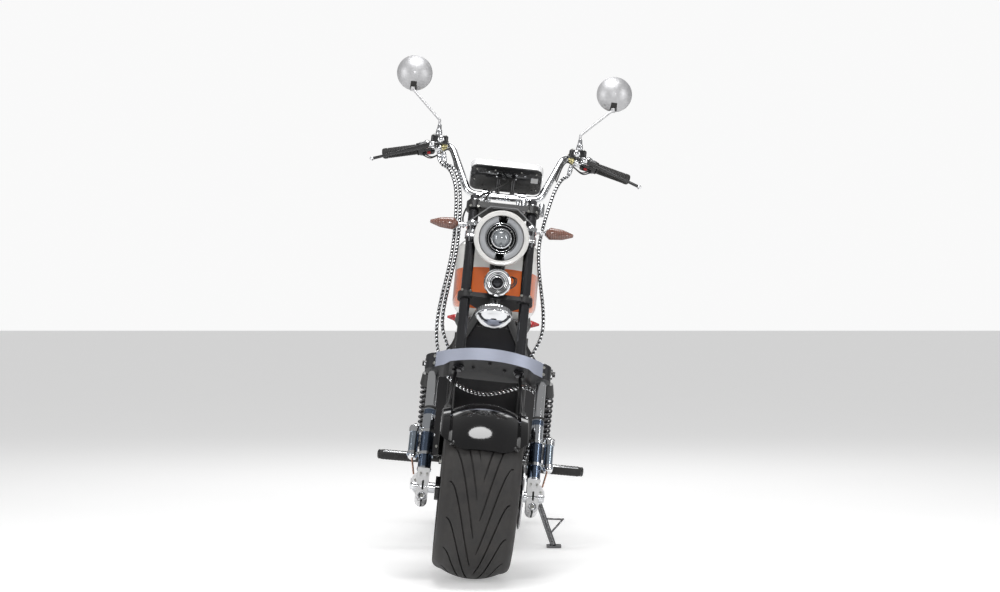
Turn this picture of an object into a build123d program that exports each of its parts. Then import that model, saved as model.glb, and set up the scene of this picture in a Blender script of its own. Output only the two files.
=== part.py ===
from build123d import *
import os
from math import asin, atan2, cos, degrees, radians, sin, sqrt, tan

# Electric mini motorcycle on two wide tyres, parked on its side stand. Millimetres.
#
# Every piece is modelled in the frame that suits it, and moved as a whole at the end.
#   bike frame   upright and straight ahead: +X to the rider's left, +Y to the rear, +Z up,
#                front axle above Y = 0, floor at Z = 0
#   fork frame   Z runs up the steering axis, Y to the rear, origin level with the front axle
#   row frame    the parked machine: the bike frame leaned onto its stand and then moved so that
#                the origin is under the middle of its bounding box

# ---------------------------------------------------------------- driving dimensions
wheelbase = 1340
tyre_radius = 238.4
tyre_half_width = 107
tyre_crown_radius = 170
bead_radius = 152.4

rake = 27
fork_offset = 33  # front axle ahead of the steering axis
lean_angle = 5.1  # onto the side stand
steer_at_rest = 2.0  # front wheel turned a little toward the stand side

upper_tube_x = 86
upper_tube_radius = 15
upper_tube_ahead = 55
leg_x = 153.5
leg_ahead = 18
stanchion_radius = 15.5
slider_radius = 18.5

crown_height = 383  # heights along the steering axis, above the axle
crown_thickness = 46
crown_front_radius = 225
lower_yoke_height = 591
lower_yoke_thickness = 20
upper_yoke_height = 889
yoke_thickness = 26
stem_radius = 15

bar_radius = 11
bar_end_x = 372
axle_radius = 10
running_clearance = 0.05
seat_clearance = 0.3

box_half_width = 150
box_face_half_width = 106
box_bottom = 285
box_waist = 548
box_top = 688
box_front = 515
box_back = 850

tank_front = 425
tank_back = 815
tank_bottom = 716
tank_crest = 950
tank_half_width = 127

cradle_x = 104
cradle_tube_radius = 14
rail_x = 92
rail_height = 650
rail_tube_radius = 12.5
swingarm_x = 150
pivot_y = 958
pivot_z = 290

# ---------------------------------------------------------------- frames
steer_foot = Vector(0, fork_offset * cos(radians(rake)), tyre_radius - fork_offset * sin(radians(rake)))
fork_frame = Location(steer_foot, (-rake, 0, 0))
leaned = Location((0, 0, 0), (0, lean_angle, 0))
CHASSIS = leaned
FORK = leaned * fork_frame * Location((0, 0, 0), (0, 0, steer_at_rest))
BARS = FORK * fork_frame.inverse()

# The tyres lean onto the arc of their crowns, so the floor lies a little under the bike frame's Z = 0.
lean_sin = sin(radians(lean_angle))
lean_cos = cos(radians(lean_angle))
floor_drop = tyre_crown_radius * (1 - lean_cos)
floor_plane = Plane(
    origin=(0, 0, -floor_drop / lean_cos), x_dir=(lean_cos, 0, lean_sin), z_dir=(-lean_sin, 0, lean_cos)
)
front_axle = Vector(0, 0, tyre_radius)
rear_axle_centre = Vector(0, wheelbase, tyre_radius)
up_the_axis = Vector(0, sin(radians(rake)), cos(radians(rake)))

pieces = []


def finish(builder, name, frame):
    """Labels a finished piece and keeps it with the frame that it was modelled in."""
    builder.part.label = name
    pieces.append((builder.part, frame))


def wheel_plane(centre):
    """Through an axle: X across the bike, Y radially up."""
    return Plane(origin=centre, x_dir=(1, 0, 0), z_dir=(0, -1, 0))


def side_plane(x, y=0, z=0):
    """Facing the bike's left: X to the rear, Y up."""
    return Plane(origin=(x, y, z), x_dir=(0, 1, 0), z_dir=(1, 0, 0))


def front_plane(x, y, z):
    """Facing forward: X to the bike's left, Y up."""
    return Plane(origin=(x, y, z), x_dir=(1, 0, 0), z_dir=(0, -1, 0))


def level(z, x=0, y=0):
    """Facing up."""
    return Plane(origin=(x, y, z))


def tube(points, bend, radius):
    """Sweeps a round section along straight runs joined by tangent arcs."""
    with BuildLine() as route:
        FilletPolyline(*points, radius=bend)
    with BuildSketch(Plane(route.line ^ 0)) as section:
        Circle(radius)
    sweep(section.sketch, path=route.line)


def rod(start, end, radius, end_radius=None):
    """A round bar, or a cone, between two points."""
    run = Vector(*end) - Vector(*start)
    plane = Plane(origin=start, z_dir=run)
    with BuildSketch(plane) as section:
        Circle(radius)
    if end_radius is None:
        extrude(section.sketch, amount=run.length)
    else:
        with BuildSketch(plane.offset(run.length)) as end_section:
            Circle(end_radius)
        loft((section.sketch, end_section.sketch))


def bore(start, end, radius):
    """Cuts a round hole between two points."""
    run = Vector(*end) - Vector(*start)
    with BuildSketch(Plane(origin=start, z_dir=run)) as section:
        Circle(radius)
    extrude(section.sketch, amount=run.length, mode=Mode.SUBTRACT)


def dome_middle(base, height):
    """Halfway along a spherical cap's arc: its distance from the axis, and its drop from the apex."""
    ball = (base * base + height * height) / (2 * height)
    half = asin(base / ball) / 2
    return ball * sin(half), ball - ball * cos(half)


def block(plane, width, height, depth, radius=0):
    """A rectangular block, its first face centred on a plane."""
    with BuildSketch(plane) as section:
        if radius:
            RectangleRounded(width, height, radius)
        else:
            Rectangle(width, height)
    extrude(section.sketch, amount=depth)


# ---------------------------------------------------------------- wheels
tread_half_width = 80
bead_half_width = 84
tyre_wall = 9
tyre_waist_radius = 192
shoulder_drop = tyre_crown_radius - sqrt(tyre_crown_radius**2 - tread_half_width**2)
flange_radius = bead_radius + 12
barrel_wall = 6
hub_radius = 24
hub_half_width = 118
disc_x = 122
disc_radius = 90
disc_thickness = 4
carrier_radius = 52


def half_tyre(shrink):
    """Half of a tyre's section, out to the crown and taken in all round by a wall."""
    crown = tyre_radius - shrink
    shoulder = (tread_half_width - shrink / 2, crown - shoulder_drop)
    middle = (tread_half_width / 2, crown - shoulder_drop * 0.24)
    waist = (tyre_half_width - shrink, tyre_waist_radius)
    bead_top = (bead_half_width - shrink, flange_radius + 4)
    shoulder_middle = (waist[0] - 6, (shoulder[1] + waist[1]) / 2 + 4)
    waist_middle = (waist[0] - 5, (bead_top[1] + waist[1]) / 2)
    with BuildLine() as outline:
        ThreePointArc((0, crown), middle, shoulder)
        ThreePointArc(shoulder, shoulder_middle, waist)
        ThreePointArc(waist, waist_middle, bead_top)
        Polyline(bead_top, (bead_half_width - shrink, bead_radius), (0, bead_radius), (0, crown))
    make_face(outline.edges())


def tyre(centre, name, frame):
    """A tubeless tyre, open at its beads."""
    with BuildPart() as ring:
        with BuildSketch(wheel_plane(centre)):
            half_tyre(0)
            mirror(about=Plane.YZ)
        revolve(axis=Axis(centre, (1, 0, 0)))
        with BuildSketch(wheel_plane(centre)):
            half_tyre(tyre_wall)
            mirror(about=Plane.YZ)
        revolve(axis=Axis(centre, (1, 0, 0)), mode=Mode.SUBTRACT)
        bore((-200, centre.Y, centre.Z), (200, centre.Y, centre.Z), bead_radius + seat_clearance)
    finish(ring, name, frame)


def rim_ring(centre):
    """The rim barrel with its bead seats, flanges and drop centre, as a closed ring."""
    outline = (
        (0, bead_radius - 22),
        (46, bead_radius - 22),
        (58, bead_radius),
        (bead_half_width + seat_clearance, bead_radius),
        (bead_half_width + seat_clearance, flange_radius),
        (bead_half_width + 5, flange_radius),
        (bead_half_width + 8, bead_radius - barrel_wall),
        (60, bead_radius - barrel_wall - 2),
        (48, bead_radius - 22 - barrel_wall),
        (0, bead_radius - 22 - barrel_wall),
    )
    with BuildSketch(wheel_plane(centre)) as section:
        with BuildLine():
            Polyline(*outline, close=True)
        make_face()
        mirror(about=Plane.YZ)
    revolve(section.sketch, axis=Axis(centre, (1, 0, 0)))


def disc(centre, name, frame):
    """A brake disc with a ring of cooling holes, on a raised carrier."""
    with BuildPart() as plate:
        with BuildSketch(side_plane(disc_x - disc_thickness / 2, centre.Y, centre.Z)):
            Circle(disc_radius)
            Circle(disc_radius - 24, mode=Mode.SUBTRACT)
            with PolarLocations(disc_radius - 12, 12):
                Circle(4.5, mode=Mode.SUBTRACT)
        extrude(amount=disc_thickness)
        with BuildSketch(side_plane(disc_x - disc_thickness / 2, centre.Y, centre.Z)):
            Circle(disc_radius - 23.5)
            Circle(30, mode=Mode.SUBTRACT)
            with PolarLocations(50, 6):
                Circle(9, mode=Mode.SUBTRACT)
        extrude(amount=disc_thickness)
    finish(plate, name, frame)


tyre(front_axle, "front_tyre", BARS)
tyre(rear_axle_centre, "rear_tyre", CHASSIS)

spoke_count = 6
spoke_width = 30
with BuildPart() as front_rim:
    rim_ring(front_axle)
    with BuildSketch(side_plane(-hub_half_width, front_axle.Y, front_axle.Z)):
        Circle(hub_radius + 9)
    extrude(amount=hub_half_width + disc_x - disc_thickness / 2)
    with BuildSketch(side_plane(-26, front_axle.Y, front_axle.Z)):
        with PolarLocations(0, spoke_count, start_angle=90):
            with Locations((bead_radius / 2, 0)):
                Rectangle(bead_radius - 50, spoke_width)
    extrude(amount=52)
    bore((-200, 0, tyre_radius), (200, 0, tyre_radius), axle_radius + running_clearance)
    with BuildSketch(side_plane(disc_x - disc_thickness / 2, front_axle.Y, front_axle.Z)):
        Circle(30 - seat_clearance)
        Circle(axle_radius + running_clearance, mode=Mode.SUBTRACT)
    extrude(amount=disc_thickness)
finish(front_rim, "front_rim", BARS)
disc(front_axle, "front_disc", BARS)

motor_radius = 121
motor_half_width = 72
with BuildPart() as rear_wheel:
    rim_ring(rear_axle_centre)
    with BuildSketch(wheel_plane(rear_axle_centre)):
        with BuildLine():
            Polyline(
                (0, 20),
                (hub_half_width, 20),
                (hub_half_width, 34),
                (motor_half_width + 22, 40),
                (motor_half_width + 10, 92),
                (motor_half_width, motor_radius - 12),
                (44, motor_radius - 4),
                (44, bead_radius - 22 - barrel_wall / 2),
                (0, bead_radius - 22 - barrel_wall / 2),
                close=True,
            )
        make_face()
        mirror(about=Plane.YZ)
    revolve(axis=Axis(rear_axle_centre, (1, 0, 0)))
    bore((-200, wheelbase, tyre_radius), (200, wheelbase, tyre_radius), axle_radius + running_clearance)
    with BuildSketch(side_plane(hub_half_width, rear_axle_centre.Y, rear_axle_centre.Z)):
        Circle(30 - seat_clearance)
        Circle(axle_radius + running_clearance, mode=Mode.SUBTRACT)
    extrude(amount=disc_x + disc_thickness / 2 - hub_half_width)
finish(rear_wheel, "rear_hub_wheel", CHASSIS)
disc(rear_axle_centre, "rear_disc", CHASSIS)

# ---------------------------------------------------------------- fork (fork frame)
crown_top = crown_height + crown_thickness / 2
crown_bottom = crown_height - crown_thickness / 2
crown_relief = 8
crown_relief_x = 112
crown_end_x = leg_x + 3
crown_end_ahead = 46
crown_nose = crown_end_ahead + crown_front_radius - sqrt(crown_front_radius**2 - crown_end_x**2)
crown_end_radius = 27
crown_back = 26
gland_x = 118  # the hoses' glands on the crown's back edge
gland_back = 6
gland_height = 14

with BuildPart() as crown:
    with BuildSketch(level(crown_bottom)):
        with BuildLine():
            ThreePointArc(
                (-crown_end_x, -crown_end_ahead), (0, -crown_nose), (crown_end_x, -crown_end_ahead)
            )
            Polyline(
                (crown_end_x, -crown_end_ahead),
                (leg_x, -leg_ahead + crown_end_radius),
                (60, crown_back),
                (-60, crown_back),
                (-leg_x, -leg_ahead + crown_end_radius),
                (-crown_end_x, -crown_end_ahead),
            )
        make_face()
        with Locations((leg_x, -leg_ahead), (-leg_x, -leg_ahead)):
            Circle(crown_end_radius)
    extrude(amount=crown_thickness)
    with BuildSketch(front_plane(0, 60, crown_bottom)):
        with BuildLine():
            Polyline(
                (-crown_relief_x - 16, -1), (crown_relief_x + 16, -1), (crown_relief_x, crown_relief),
                (-crown_relief_x, crown_relief), close=True,
            )
        make_face()
    extrude(amount=220, mode=Mode.SUBTRACT)
    for side in (-1, 1):
        gland_top = crown_top + gland_height
        rod((side * gland_x, gland_back, crown_top - 2), (side * gland_x, gland_back, gland_top), 8.5)
        bore(
            (side * upper_tube_x, -upper_tube_ahead, crown_bottom - 1),
            (side * upper_tube_x, -upper_tube_ahead, crown_top + 1),
            upper_tube_radius + seat_clearance,
        )
        bore(
            (side * leg_x, -leg_ahead, crown_bottom - 1),
            (side * leg_x, -leg_ahead, crown_top + 1),
            stanchion_radius + seat_clearance,
        )
finish(crown, "fork_crown", FORK)

tube_cap_height = 24
tube_top = upper_yoke_height + yoke_thickness / 2
with BuildPart() as upper_tubes:
    for side in (-1, 1):
        x = side * upper_tube_x
        rod((x, -upper_tube_ahead, crown_bottom + 4), (x, -upper_tube_ahead, tube_top), upper_tube_radius)
        # The cap bolt above the upper yoke, and the bolt head under the crown.
        with BuildSketch(level(tube_top, x, -upper_tube_ahead)):
            Circle(upper_tube_radius + 2)
        extrude(amount=7)
        with BuildSketch(level(tube_top + 7, x, -upper_tube_ahead)):
            RegularPolygon(upper_tube_radius - 2, 6)
        extrude(amount=tube_cap_height - 7)
        with BuildSketch(level(crown_bottom, x, -upper_tube_ahead)):
            Circle(upper_tube_radius - 2)
        extrude(amount=4)
        with BuildSketch(level(crown_bottom, x, -upper_tube_ahead)):
            RegularPolygon(upper_tube_radius - 5, 6)
        extrude(amount=-7)
finish(upper_tubes, "fork_upper_tubes", FORK)

collar_radius = upper_tube_radius + 8
collar_rise = 3  # the collars stand proud of the web on both faces


def yoke(height, thickness, name):
    """A fork clamp: two collars for the upper tubes on a web around the stem."""
    low = height - thickness / 2
    with BuildPart() as clamp:
        with BuildSketch(level(low + collar_rise)):
            with BuildLine():
                Polyline(
                    (-upper_tube_x, -upper_tube_ahead - 20), (upper_tube_x, -upper_tube_ahead - 20),
                    (upper_tube_x + 4, -upper_tube_ahead + 16), (26, 26), (-26, 26),
                    (-upper_tube_x - 4, -upper_tube_ahead + 16), close=True,
                )
            make_face()
        extrude(amount=thickness - 2 * collar_rise)
        with BuildSketch(level(low)):
            with Locations((upper_tube_x, -upper_tube_ahead), (-upper_tube_x, -upper_tube_ahead)):
                Circle(collar_radius)
            Circle(stem_radius + 13)
        extrude(amount=thickness)
        for side in (-1, 1):
            bore(
                (side * upper_tube_x, -upper_tube_ahead, low - 1),
                (side * upper_tube_x, -upper_tube_ahead, low + thickness + 1),
                upper_tube_radius + seat_clearance,
            )
        bore((0, 0, low - 1), (0, 0, low + thickness + 1), stem_radius + seat_clearance)
    finish(clamp, name, FORK)


yoke(lower_yoke_height, lower_yoke_thickness, "lower_yoke")
yoke(upper_yoke_height, yoke_thickness, "upper_yoke")

with BuildPart() as stem:
    rod((0, 0, lower_yoke_height - lower_yoke_thickness / 2), (0, 0, tube_top), stem_radius)
    with BuildSketch(level(tube_top)):
        Circle(stem_radius + 6)
    extrude(amount=4)
    with BuildSketch(level(tube_top + 4)):
        RegularPolygon(stem_radius + 2, 6)
    extrude(amount=16)
    with BuildSketch(level(tube_top + 20)):
        Circle(8)
    extrude(amount=8)
finish(stem, "steering_stem", FORK)

slider_top = 240
dropout_top = 53
dropout_bottom = -48
with BuildPart() as stanchions:
    for side in (-1, 1):
        x = side * leg_x
        rod((x, -leg_ahead, slider_top), (x, -leg_ahead, crown_top), stanchion_radius)
        with BuildSketch(level(crown_top, x, -leg_ahead)):
            Circle(stanchion_radius + 4)
        extrude(amount=5)
finish(stanchions, "fork_stanchions", FORK)

ring_heights = (55.5, 97, 165)
ring_height = 9
with BuildPart() as sliders:
    for side in (-1, 1):
        x = side * leg_x
        rod((x, -leg_ahead, dropout_top), (x, -leg_ahead, ring_heights[2]), slider_radius)
        rod((x, -leg_ahead, ring_heights[2]), (x, -leg_ahead, slider_top), slider_radius - 1.5)
        with BuildSketch(level(ring_heights[0], x, -leg_ahead)):
            Circle(slider_radius + 2)
        extrude(amount=4)
finish(sliders, "fork_sliders", FORK)

reservoir_x = 190
reservoir_radius = 13.5
reservoir_bottom = 96
reservoir_top = 168
rod_foot_x = leg_x + 27
with BuildPart() as reservoirs:
    for side in (-1, 1):
        x = side * reservoir_x
        rod((x, -leg_ahead, reservoir_bottom), (x, -leg_ahead, reservoir_top), reservoir_radius)
        with BuildSketch(level(reservoir_top, x, -leg_ahead)):
            Circle(reservoir_radius + 2.5)
        extrude(amount=12)
        # Two clamp bands hold it to the slider.
        for height in ring_heights[1:]:
            with BuildSketch(level(height)):
                with Locations((x, -leg_ahead)):
                    Circle(reservoir_radius + 2.5)
                with Locations((side * (leg_x + reservoir_x) / 2, -leg_ahead)):
                    Rectangle(reservoir_x - leg_x, 12)
                with Locations((side * leg_x, -leg_ahead)):
                    Circle(slider_radius + 3)
                    Circle(slider_radius + seat_clearance, mode=Mode.SUBTRACT)
            extrude(amount=ring_height)
        # A thin rod runs from its foot to the ear of the dropout.
        rod((x, -leg_ahead, reservoir_bottom), (x, -leg_ahead, reservoir_bottom - 8), 6)
        rod(
            (x, -leg_ahead, reservoir_bottom - 7),
            (side * rod_foot_x, -leg_ahead + 8, dropout_top - 9.6),
            2.5,
        )
finish(reservoirs, "fork_reservoirs", FORK)

with BuildPart() as dropouts:
    for side in (-1, 1):
        with BuildSketch(front_plane(side * leg_x, -leg_ahead + 15, 0)):
            with BuildLine():
                Polyline(
                    (-17, dropout_bottom + 15), (-17, dropout_top), (17, dropout_top),
                    (17, dropout_bottom + 15), close=True,
                )
            make_face()
            with Locations((0, dropout_bottom + 17)):
                Circle(17)
        extrude(amount=40)
        with BuildSketch(front_plane(side * leg_x, -leg_ahead + 20, 0)):
            with BuildLine():
                Polyline(
                    (side * 10, dropout_top - 2), (side * 22, dropout_top - 6),
                    (side * 34, dropout_top - 24), (side * 34, 14), (side * 18, -10), (side * 10, -10),
                    close=True,
                )
            make_face()
        extrude(amount=15)
        with BuildSketch(front_plane(side * leg_x, -leg_ahead - 25, 0)):
            with Locations((0, dropout_bottom + 17)):
                Circle(12)
        extrude(amount=4)
        bore((side * (leg_x - 40), -fork_offset, 0), (side * (leg_x + 40), -fork_offset, 0),
             axle_radius + seat_clearance)
        bore((side * leg_x, -leg_ahead - 35, dropout_bottom + 17),
             (side * leg_x, -leg_ahead - 20, dropout_bottom + 17), 7)
finish(dropouts, "fork_dropouts", FORK)

axle_end = leg_x + 25
with BuildPart() as front_axle_bar:
    rod((-axle_end, -fork_offset, 0), (axle_end, -fork_offset, 0), axle_radius)
    for side in (-1, 1):
        start = leg_x + 17 + seat_clearance
        rod((side * start, -fork_offset, 0), (side * (start + 8), -fork_offset, 0), 13)
        inner = disc_x + disc_thickness / 2 + 0.5 if side > 0 else hub_half_width + 0.5
        rod((side * inner, -fork_offset, 0), (side * (leg_x - 17 - seat_clearance), -fork_offset, 0), 15)
finish(front_axle_bar, "front_axle", FORK)

# ---------------------------------------------------------------- front fender (turned bike frame)
fender_gap = 8
fender_wall = 3
fender_dome = tyre_radius + fender_gap
fender_step_x = 92
fender_shoulder = fender_dome - 24
fender_edge_x = 120
fender_skirt = 196
fender_front = 33
fender_rear = 160


def fender_half():
    """Half of the fender's section: dome, step, flat shoulder and upright skirt."""
    t = fender_wall
    with BuildLine() as outline:
        ThreePointArc(
            (0, fender_dome), (fender_step_x / 2, fender_dome - 5.5), (fender_step_x, fender_shoulder)
        )
        Polyline(
            (fender_step_x, fender_shoulder), (fender_step_x + 5, fender_shoulder + 8),
            (fender_edge_x - 4, fender_shoulder + 2), (fender_edge_x, fender_shoulder - 4),
            (fender_edge_x + 1, fender_skirt), (fender_edge_x + 1 - t, fender_skirt),
            (fender_edge_x - t, fender_shoulder - 5), (fender_edge_x - 5, fender_shoulder + 2 - t),
            (fender_step_x + 5, fender_shoulder + 8 - t), (fender_step_x, fender_shoulder - t),
        )
        ThreePointArc(
            (fender_step_x, fender_shoulder - t),
            (fender_step_x / 2, fender_dome - 5.5 - t),
            (0, fender_dome - t),
        )
        Line((0, fender_dome - t), (0, fender_dome))
    make_face(outline.edges())


with BuildPart() as front_fender:
    # The section starts turned to the fender's front edge and runs over the top of the wheel.
    start_angle = radians(fender_front)
    fender_start = Plane(
        origin=front_axle, x_dir=(1, 0, 0), z_dir=(0, -sin(start_angle), -cos(start_angle))
    )
    with BuildSketch(fender_start):
        fender_half()
        mirror(about=Plane.YZ)
    revolve(axis=Axis(front_axle, (-1, 0, 0)), revolution_arc=fender_rear - fender_front)
    # Its front edge rises to the sides.
    nose_z = front_axle.Z + fender_dome * sin(start_angle)
    for side in (-1, 1):
        with BuildSketch(front_plane(0, -fender_dome * cos(start_angle) / 2, 0)):
            with BuildLine():
                ThreePointArc((side * 48, nose_z - 4), (side * 92, nose_z + 8), (side * 124, nose_z + 30))
                Polyline((side * 124, nose_z + 30), (side * 124, nose_z - 60), (side * 48, nose_z - 60),
                         (side * 48, nose_z - 4))
            make_face()
        extrude(amount=fender_dome, mode=Mode.SUBTRACT)
finish(front_fender, "front_fender", BARS)

stay_top = Vector(92, -18, crown_bottom + crown_relief - seat_clearance)
stay_lean = radians(14)  # where the stays' feet sit, behind the top of the wheel
stay_radius = fender_shoulder + 8 + seat_clearance
stay_foot_x = fender_step_x + 14
with BuildPart() as fender_stays:
    for side in (-1, 1):
        radial = Vector(0, sin(stay_lean), cos(stay_lean))
        foot = front_axle + radial * stay_radius + Vector(side * stay_foot_x, 0, 0)
        block(Plane(origin=foot, x_dir=(1, 0, 0), z_dir=radial), 16, 30, 4)
        head = (fork_frame * Pos(side * stay_top.X, stay_top.Y, stay_top.Z)).position
        block(Plane(origin=head, x_dir=(1, 0, 0), z_dir=up_the_axis * -1), 22, 22, 4)
        rod(head - up_the_axis * 2, foot + radial * 2, 5)
finish(fender_stays, "fender_stays", BARS)

# ---------------------------------------------------------------- chassis frame
head_bottom = lower_yoke_height + lower_yoke_thickness / 2 + 1
head_top = upper_yoke_height - yoke_thickness / 2 - 1
head_radius = 23


def on_axis(height, ahead=0):
    """A point in the bike frame at a height up the steering axis."""
    return (fork_frame * Pos(0, -ahead, height)).position


backbone_start = on_axis(740)
backbone_end = Vector(0, box_back + 17, 704)
backbone_radius = 17
backbone_run = backbone_end - backbone_start
backbone_plane = Plane(origin=backbone_start, x_dir=(1, 0, 0), z_dir=backbone_run)
cradle_low = box_bottom - cradle_tube_radius - seat_clearance
shock_top = Vector(200, 1165, 540)
shock_bottom = Vector(200, 1262, 262)
stand_pivot = Vector(cradle_x + 44, 780, cradle_low - 16)
stand_bolt_radius = 7
stand_foot_x = 250
stand_foot_y = 706
foot_lift = stand_foot_x * lean_sin / lean_cos - floor_drop / lean_cos
stand_foot = Vector(stand_foot_x, stand_foot_y, foot_lift + 6)
stand_folded = Vector(-0.02, 0.985, 0.17)
stand_axis = (stand_foot - stand_pivot).cross(stand_folded).normalized()
with BuildPart() as frame:
    head_low = on_axis(head_bottom)
    head_high = on_axis(head_top)
    down_start = on_axis(640)
    rod(backbone_start, backbone_end, backbone_radius)
    rod(backbone_end - Vector(rail_x, 0, 0), backbone_end + Vector(rail_x, 0, 0), rail_tube_radius)
    for side in (-1, 1):
        tube(
            (
                (side * 8, down_start.Y + 4, down_start.Z),
                (side * cradle_x, box_front - cradle_tube_radius - 3, 610),
                (side * cradle_x, box_front - cradle_tube_radius - 3, cradle_low),
                (side * cradle_x, box_back + 40, cradle_low),
                (side * cradle_x, box_back + 40, rail_height + 8),
            ),
            60,
            cradle_tube_radius,
        )
        block(side_plane(side * cradle_x - 5, pivot_y - 24, pivot_z - 14), 90, 60, 10)
    rod((-cradle_x, box_front + 60, cradle_low), (cradle_x, box_front + 60, cradle_low), 12)
    rod((-cradle_x, box_back - 60, cradle_low), (cradle_x, box_back - 60, cradle_low), 12)
    # The side stand's plate and pivot bolt, welded under the left rail.
    block(side_plane(cradle_x + 6, stand_pivot.Y, stand_pivot.Z + 6), 44, 46, cradle_tube_radius + 6)
    rod(stand_pivot - stand_axis * 26, stand_pivot + stand_axis * 15, stand_bolt_radius)
    rod(stand_pivot - stand_axis * 26, stand_pivot - stand_axis * 12, 13)
    rod(stand_pivot + stand_axis * 10, stand_pivot + stand_axis * 15, 10)
    rod(head_low, head_high, head_radius)
    bore(on_axis(head_bottom - 1), on_axis(head_top + 1), stem_radius + running_clearance)
    bore((-200, pivot_y, pivot_z), (200, pivot_y, pivot_z), 9)
finish(frame, "frame", CHASSIS)

# The seat rails, coped onto the backbone's cross tube and the tops of the cradle.
with BuildPart() as subframe:
    for side in (-1, 1):
        tube(
            (
                (side * rail_x, backbone_end.Y, backbone_end.Z),
                (side * rail_x, backbone_end.Y + 54, rail_height),
                (side * rail_x, wheelbase + 70, rail_height),
            ),
            40,
            rail_tube_radius,
        )
        rod(
            (side * cradle_x, box_back + 40, rail_height - 20),
            (side * rail_x, box_back + 46, rail_height + 6),
            cradle_tube_radius,
        )
        shock_ear = (side * (shock_top.X - 34), shock_top.Y, shock_top.Z)
        hanger = (side * (shock_top.X - 28), shock_top.Y, shock_top.Z)
        rod((side * rail_x, shock_top.Y - 20, rail_height), hanger, 11)
        rod(shock_ear, (side * (shock_top.X - 14), shock_top.Y, shock_top.Z), 14)
        rod(shock_ear, (side * (shock_top.X + 22), shock_top.Y, shock_top.Z), 9)
        rod((side * cradle_x, box_back + 40, pivot_z + 150), (side * rail_x, 1090, rail_height), 10)
    rod((-rail_x, wheelbase + 56, rail_height), (rail_x, wheelbase + 56, rail_height), 11)
    rod((-rail_x, shock_top.Y - 20, rail_height), (rail_x, shock_top.Y - 20, rail_height), 11)
    add(frame.part, mode=Mode.SUBTRACT)
finish(subframe, "subframe", CHASSIS)

# ---------------------------------------------------------------- battery box and tank
box_shoulder = 96
box_chamfer_depth = 46
cradle_relief = 37


def box_outline(half_width, face):
    """The battery box seen from above: a narrow front face between two chamfers."""
    with BuildLine() as outline:
        Polyline(
            (-face, box_front), (face, box_front), (half_width, box_front + box_chamfer_depth),
            (half_width, box_back), (-half_width, box_back), (-half_width, box_front + box_chamfer_depth),
            close=True,
        )
    make_face(outline.edges())


with BuildPart() as battery_box:
    with BuildSketch(level(box_bottom)):
        box_outline(box_half_width, box_face_half_width)
    extrude(amount=box_waist - box_bottom)
    with BuildSketch(level(box_waist)):
        box_outline(box_half_width, box_face_half_width)
    with BuildSketch(level(box_top)):
        box_outline(box_shoulder, box_face_half_width - 24)
    loft()
    # The lower edges are cut away for the bends of the cradle.
    with BuildSketch(side_plane(-box_half_width - 1)):
        for edge_y, inward in ((box_front, 1), (box_back, -1)):
            with BuildLine():
                Polyline(
                    (edge_y - inward * 2, box_bottom - 2), (edge_y + inward * cradle_relief, box_bottom - 2),
                    (edge_y + inward * cradle_relief, box_bottom), (edge_y, box_bottom + cradle_relief),
                    (edge_y - inward * 2, box_bottom + cradle_relief), close=True,
                )
            make_face()
    extrude(amount=2 * box_half_width + 2, mode=Mode.SUBTRACT)
    # A trough along the top leaves the frame's backbone free.
    with BuildSketch(backbone_plane):
        with Locations((0, -50)):
            Rectangle(2 * backbone_radius + 2, 2 * backbone_radius + 2 + 100)
    extrude(amount=800, mode=Mode.SUBTRACT)
finish(battery_box, "battery_box", CHASSIS)

tank_sections = (
    # distance behind the front, half width, top, bottom, corner rounding
    (0, 92, 926, 782, 40),
    (60, 118, 946, 736, 44),
    (150, tank_half_width, tank_crest, tank_bottom, 46),
    (270, 108, 926, tank_bottom, 44),
    (tank_back - tank_front, 66, 858, tank_bottom + 16, 34),
)
tank_cap_y = tank_front + 150
with BuildPart() as tank:
    for behind, half_width, top, bottom, rounding in tank_sections:
        with BuildSketch(front_plane(0, tank_front + behind, (top + bottom) / 2)):
            RectangleRounded(2 * half_width, top - bottom, rounding)
    loft()
    with BuildSketch(backbone_plane):
        with Locations((0, 100)):
            Rectangle(2 * backbone_radius + 2, 2 * backbone_radius + 2 + 200)
    extrude(amount=800, mode=Mode.SUBTRACT)
    bore((0, tank_cap_y, tank_crest - 6), (0, tank_cap_y, tank_crest + 60), 30 + seat_clearance)
finish(tank, "tank", CHASSIS)

with BuildPart() as tank_cap:
    with BuildSketch(level(tank_crest - 6 + seat_clearance, 0, tank_cap_y)):
        Circle(30)
    extrude(amount=10)
    with BuildSketch(level(tank_crest + 4, 0, tank_cap_y)):
        Circle(24)
    extrude(amount=4)
finish(tank_cap, "tank_cap", CHASSIS)

# ---------------------------------------------------------------- seats
seat_base = rail_height + rail_tube_radius + seat_clearance
seat_front = 884
seat_back = 1230
with BuildPart() as rider_seat:
    seat_sections = ((seat_front, 84, 56), (960, 118, 72), (1120, 138, 74), (seat_back, 132, 92))
    for y, half_width, height in seat_sections:
        with BuildSketch(front_plane(0, y, seat_base + height / 2)):
            RectangleRounded(2 * half_width, height, 24)
    loft()
    # Clearance for the rails where they come down from the backbone.
    for side in (-1, 1):
        bore((side * rail_x, backbone_end.Y - 12, backbone_end.Z + 12),
             (side * rail_x, backbone_end.Y + 66, rail_height - 12), rail_tube_radius + 3)
finish(rider_seat, "rider_seat", CHASSIS)

with BuildPart() as passenger_seat:
    for y, half_width, height in ((seat_back + 6, 110, 72), (1320, 112, 70), (1404, 84, 52)):
        with BuildSketch(front_plane(0, y, seat_base + height / 2)):
            RectangleRounded(2 * half_width, height, 22)
    loft()
finish(passenger_seat, "passenger_seat", CHASSIS)

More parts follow.
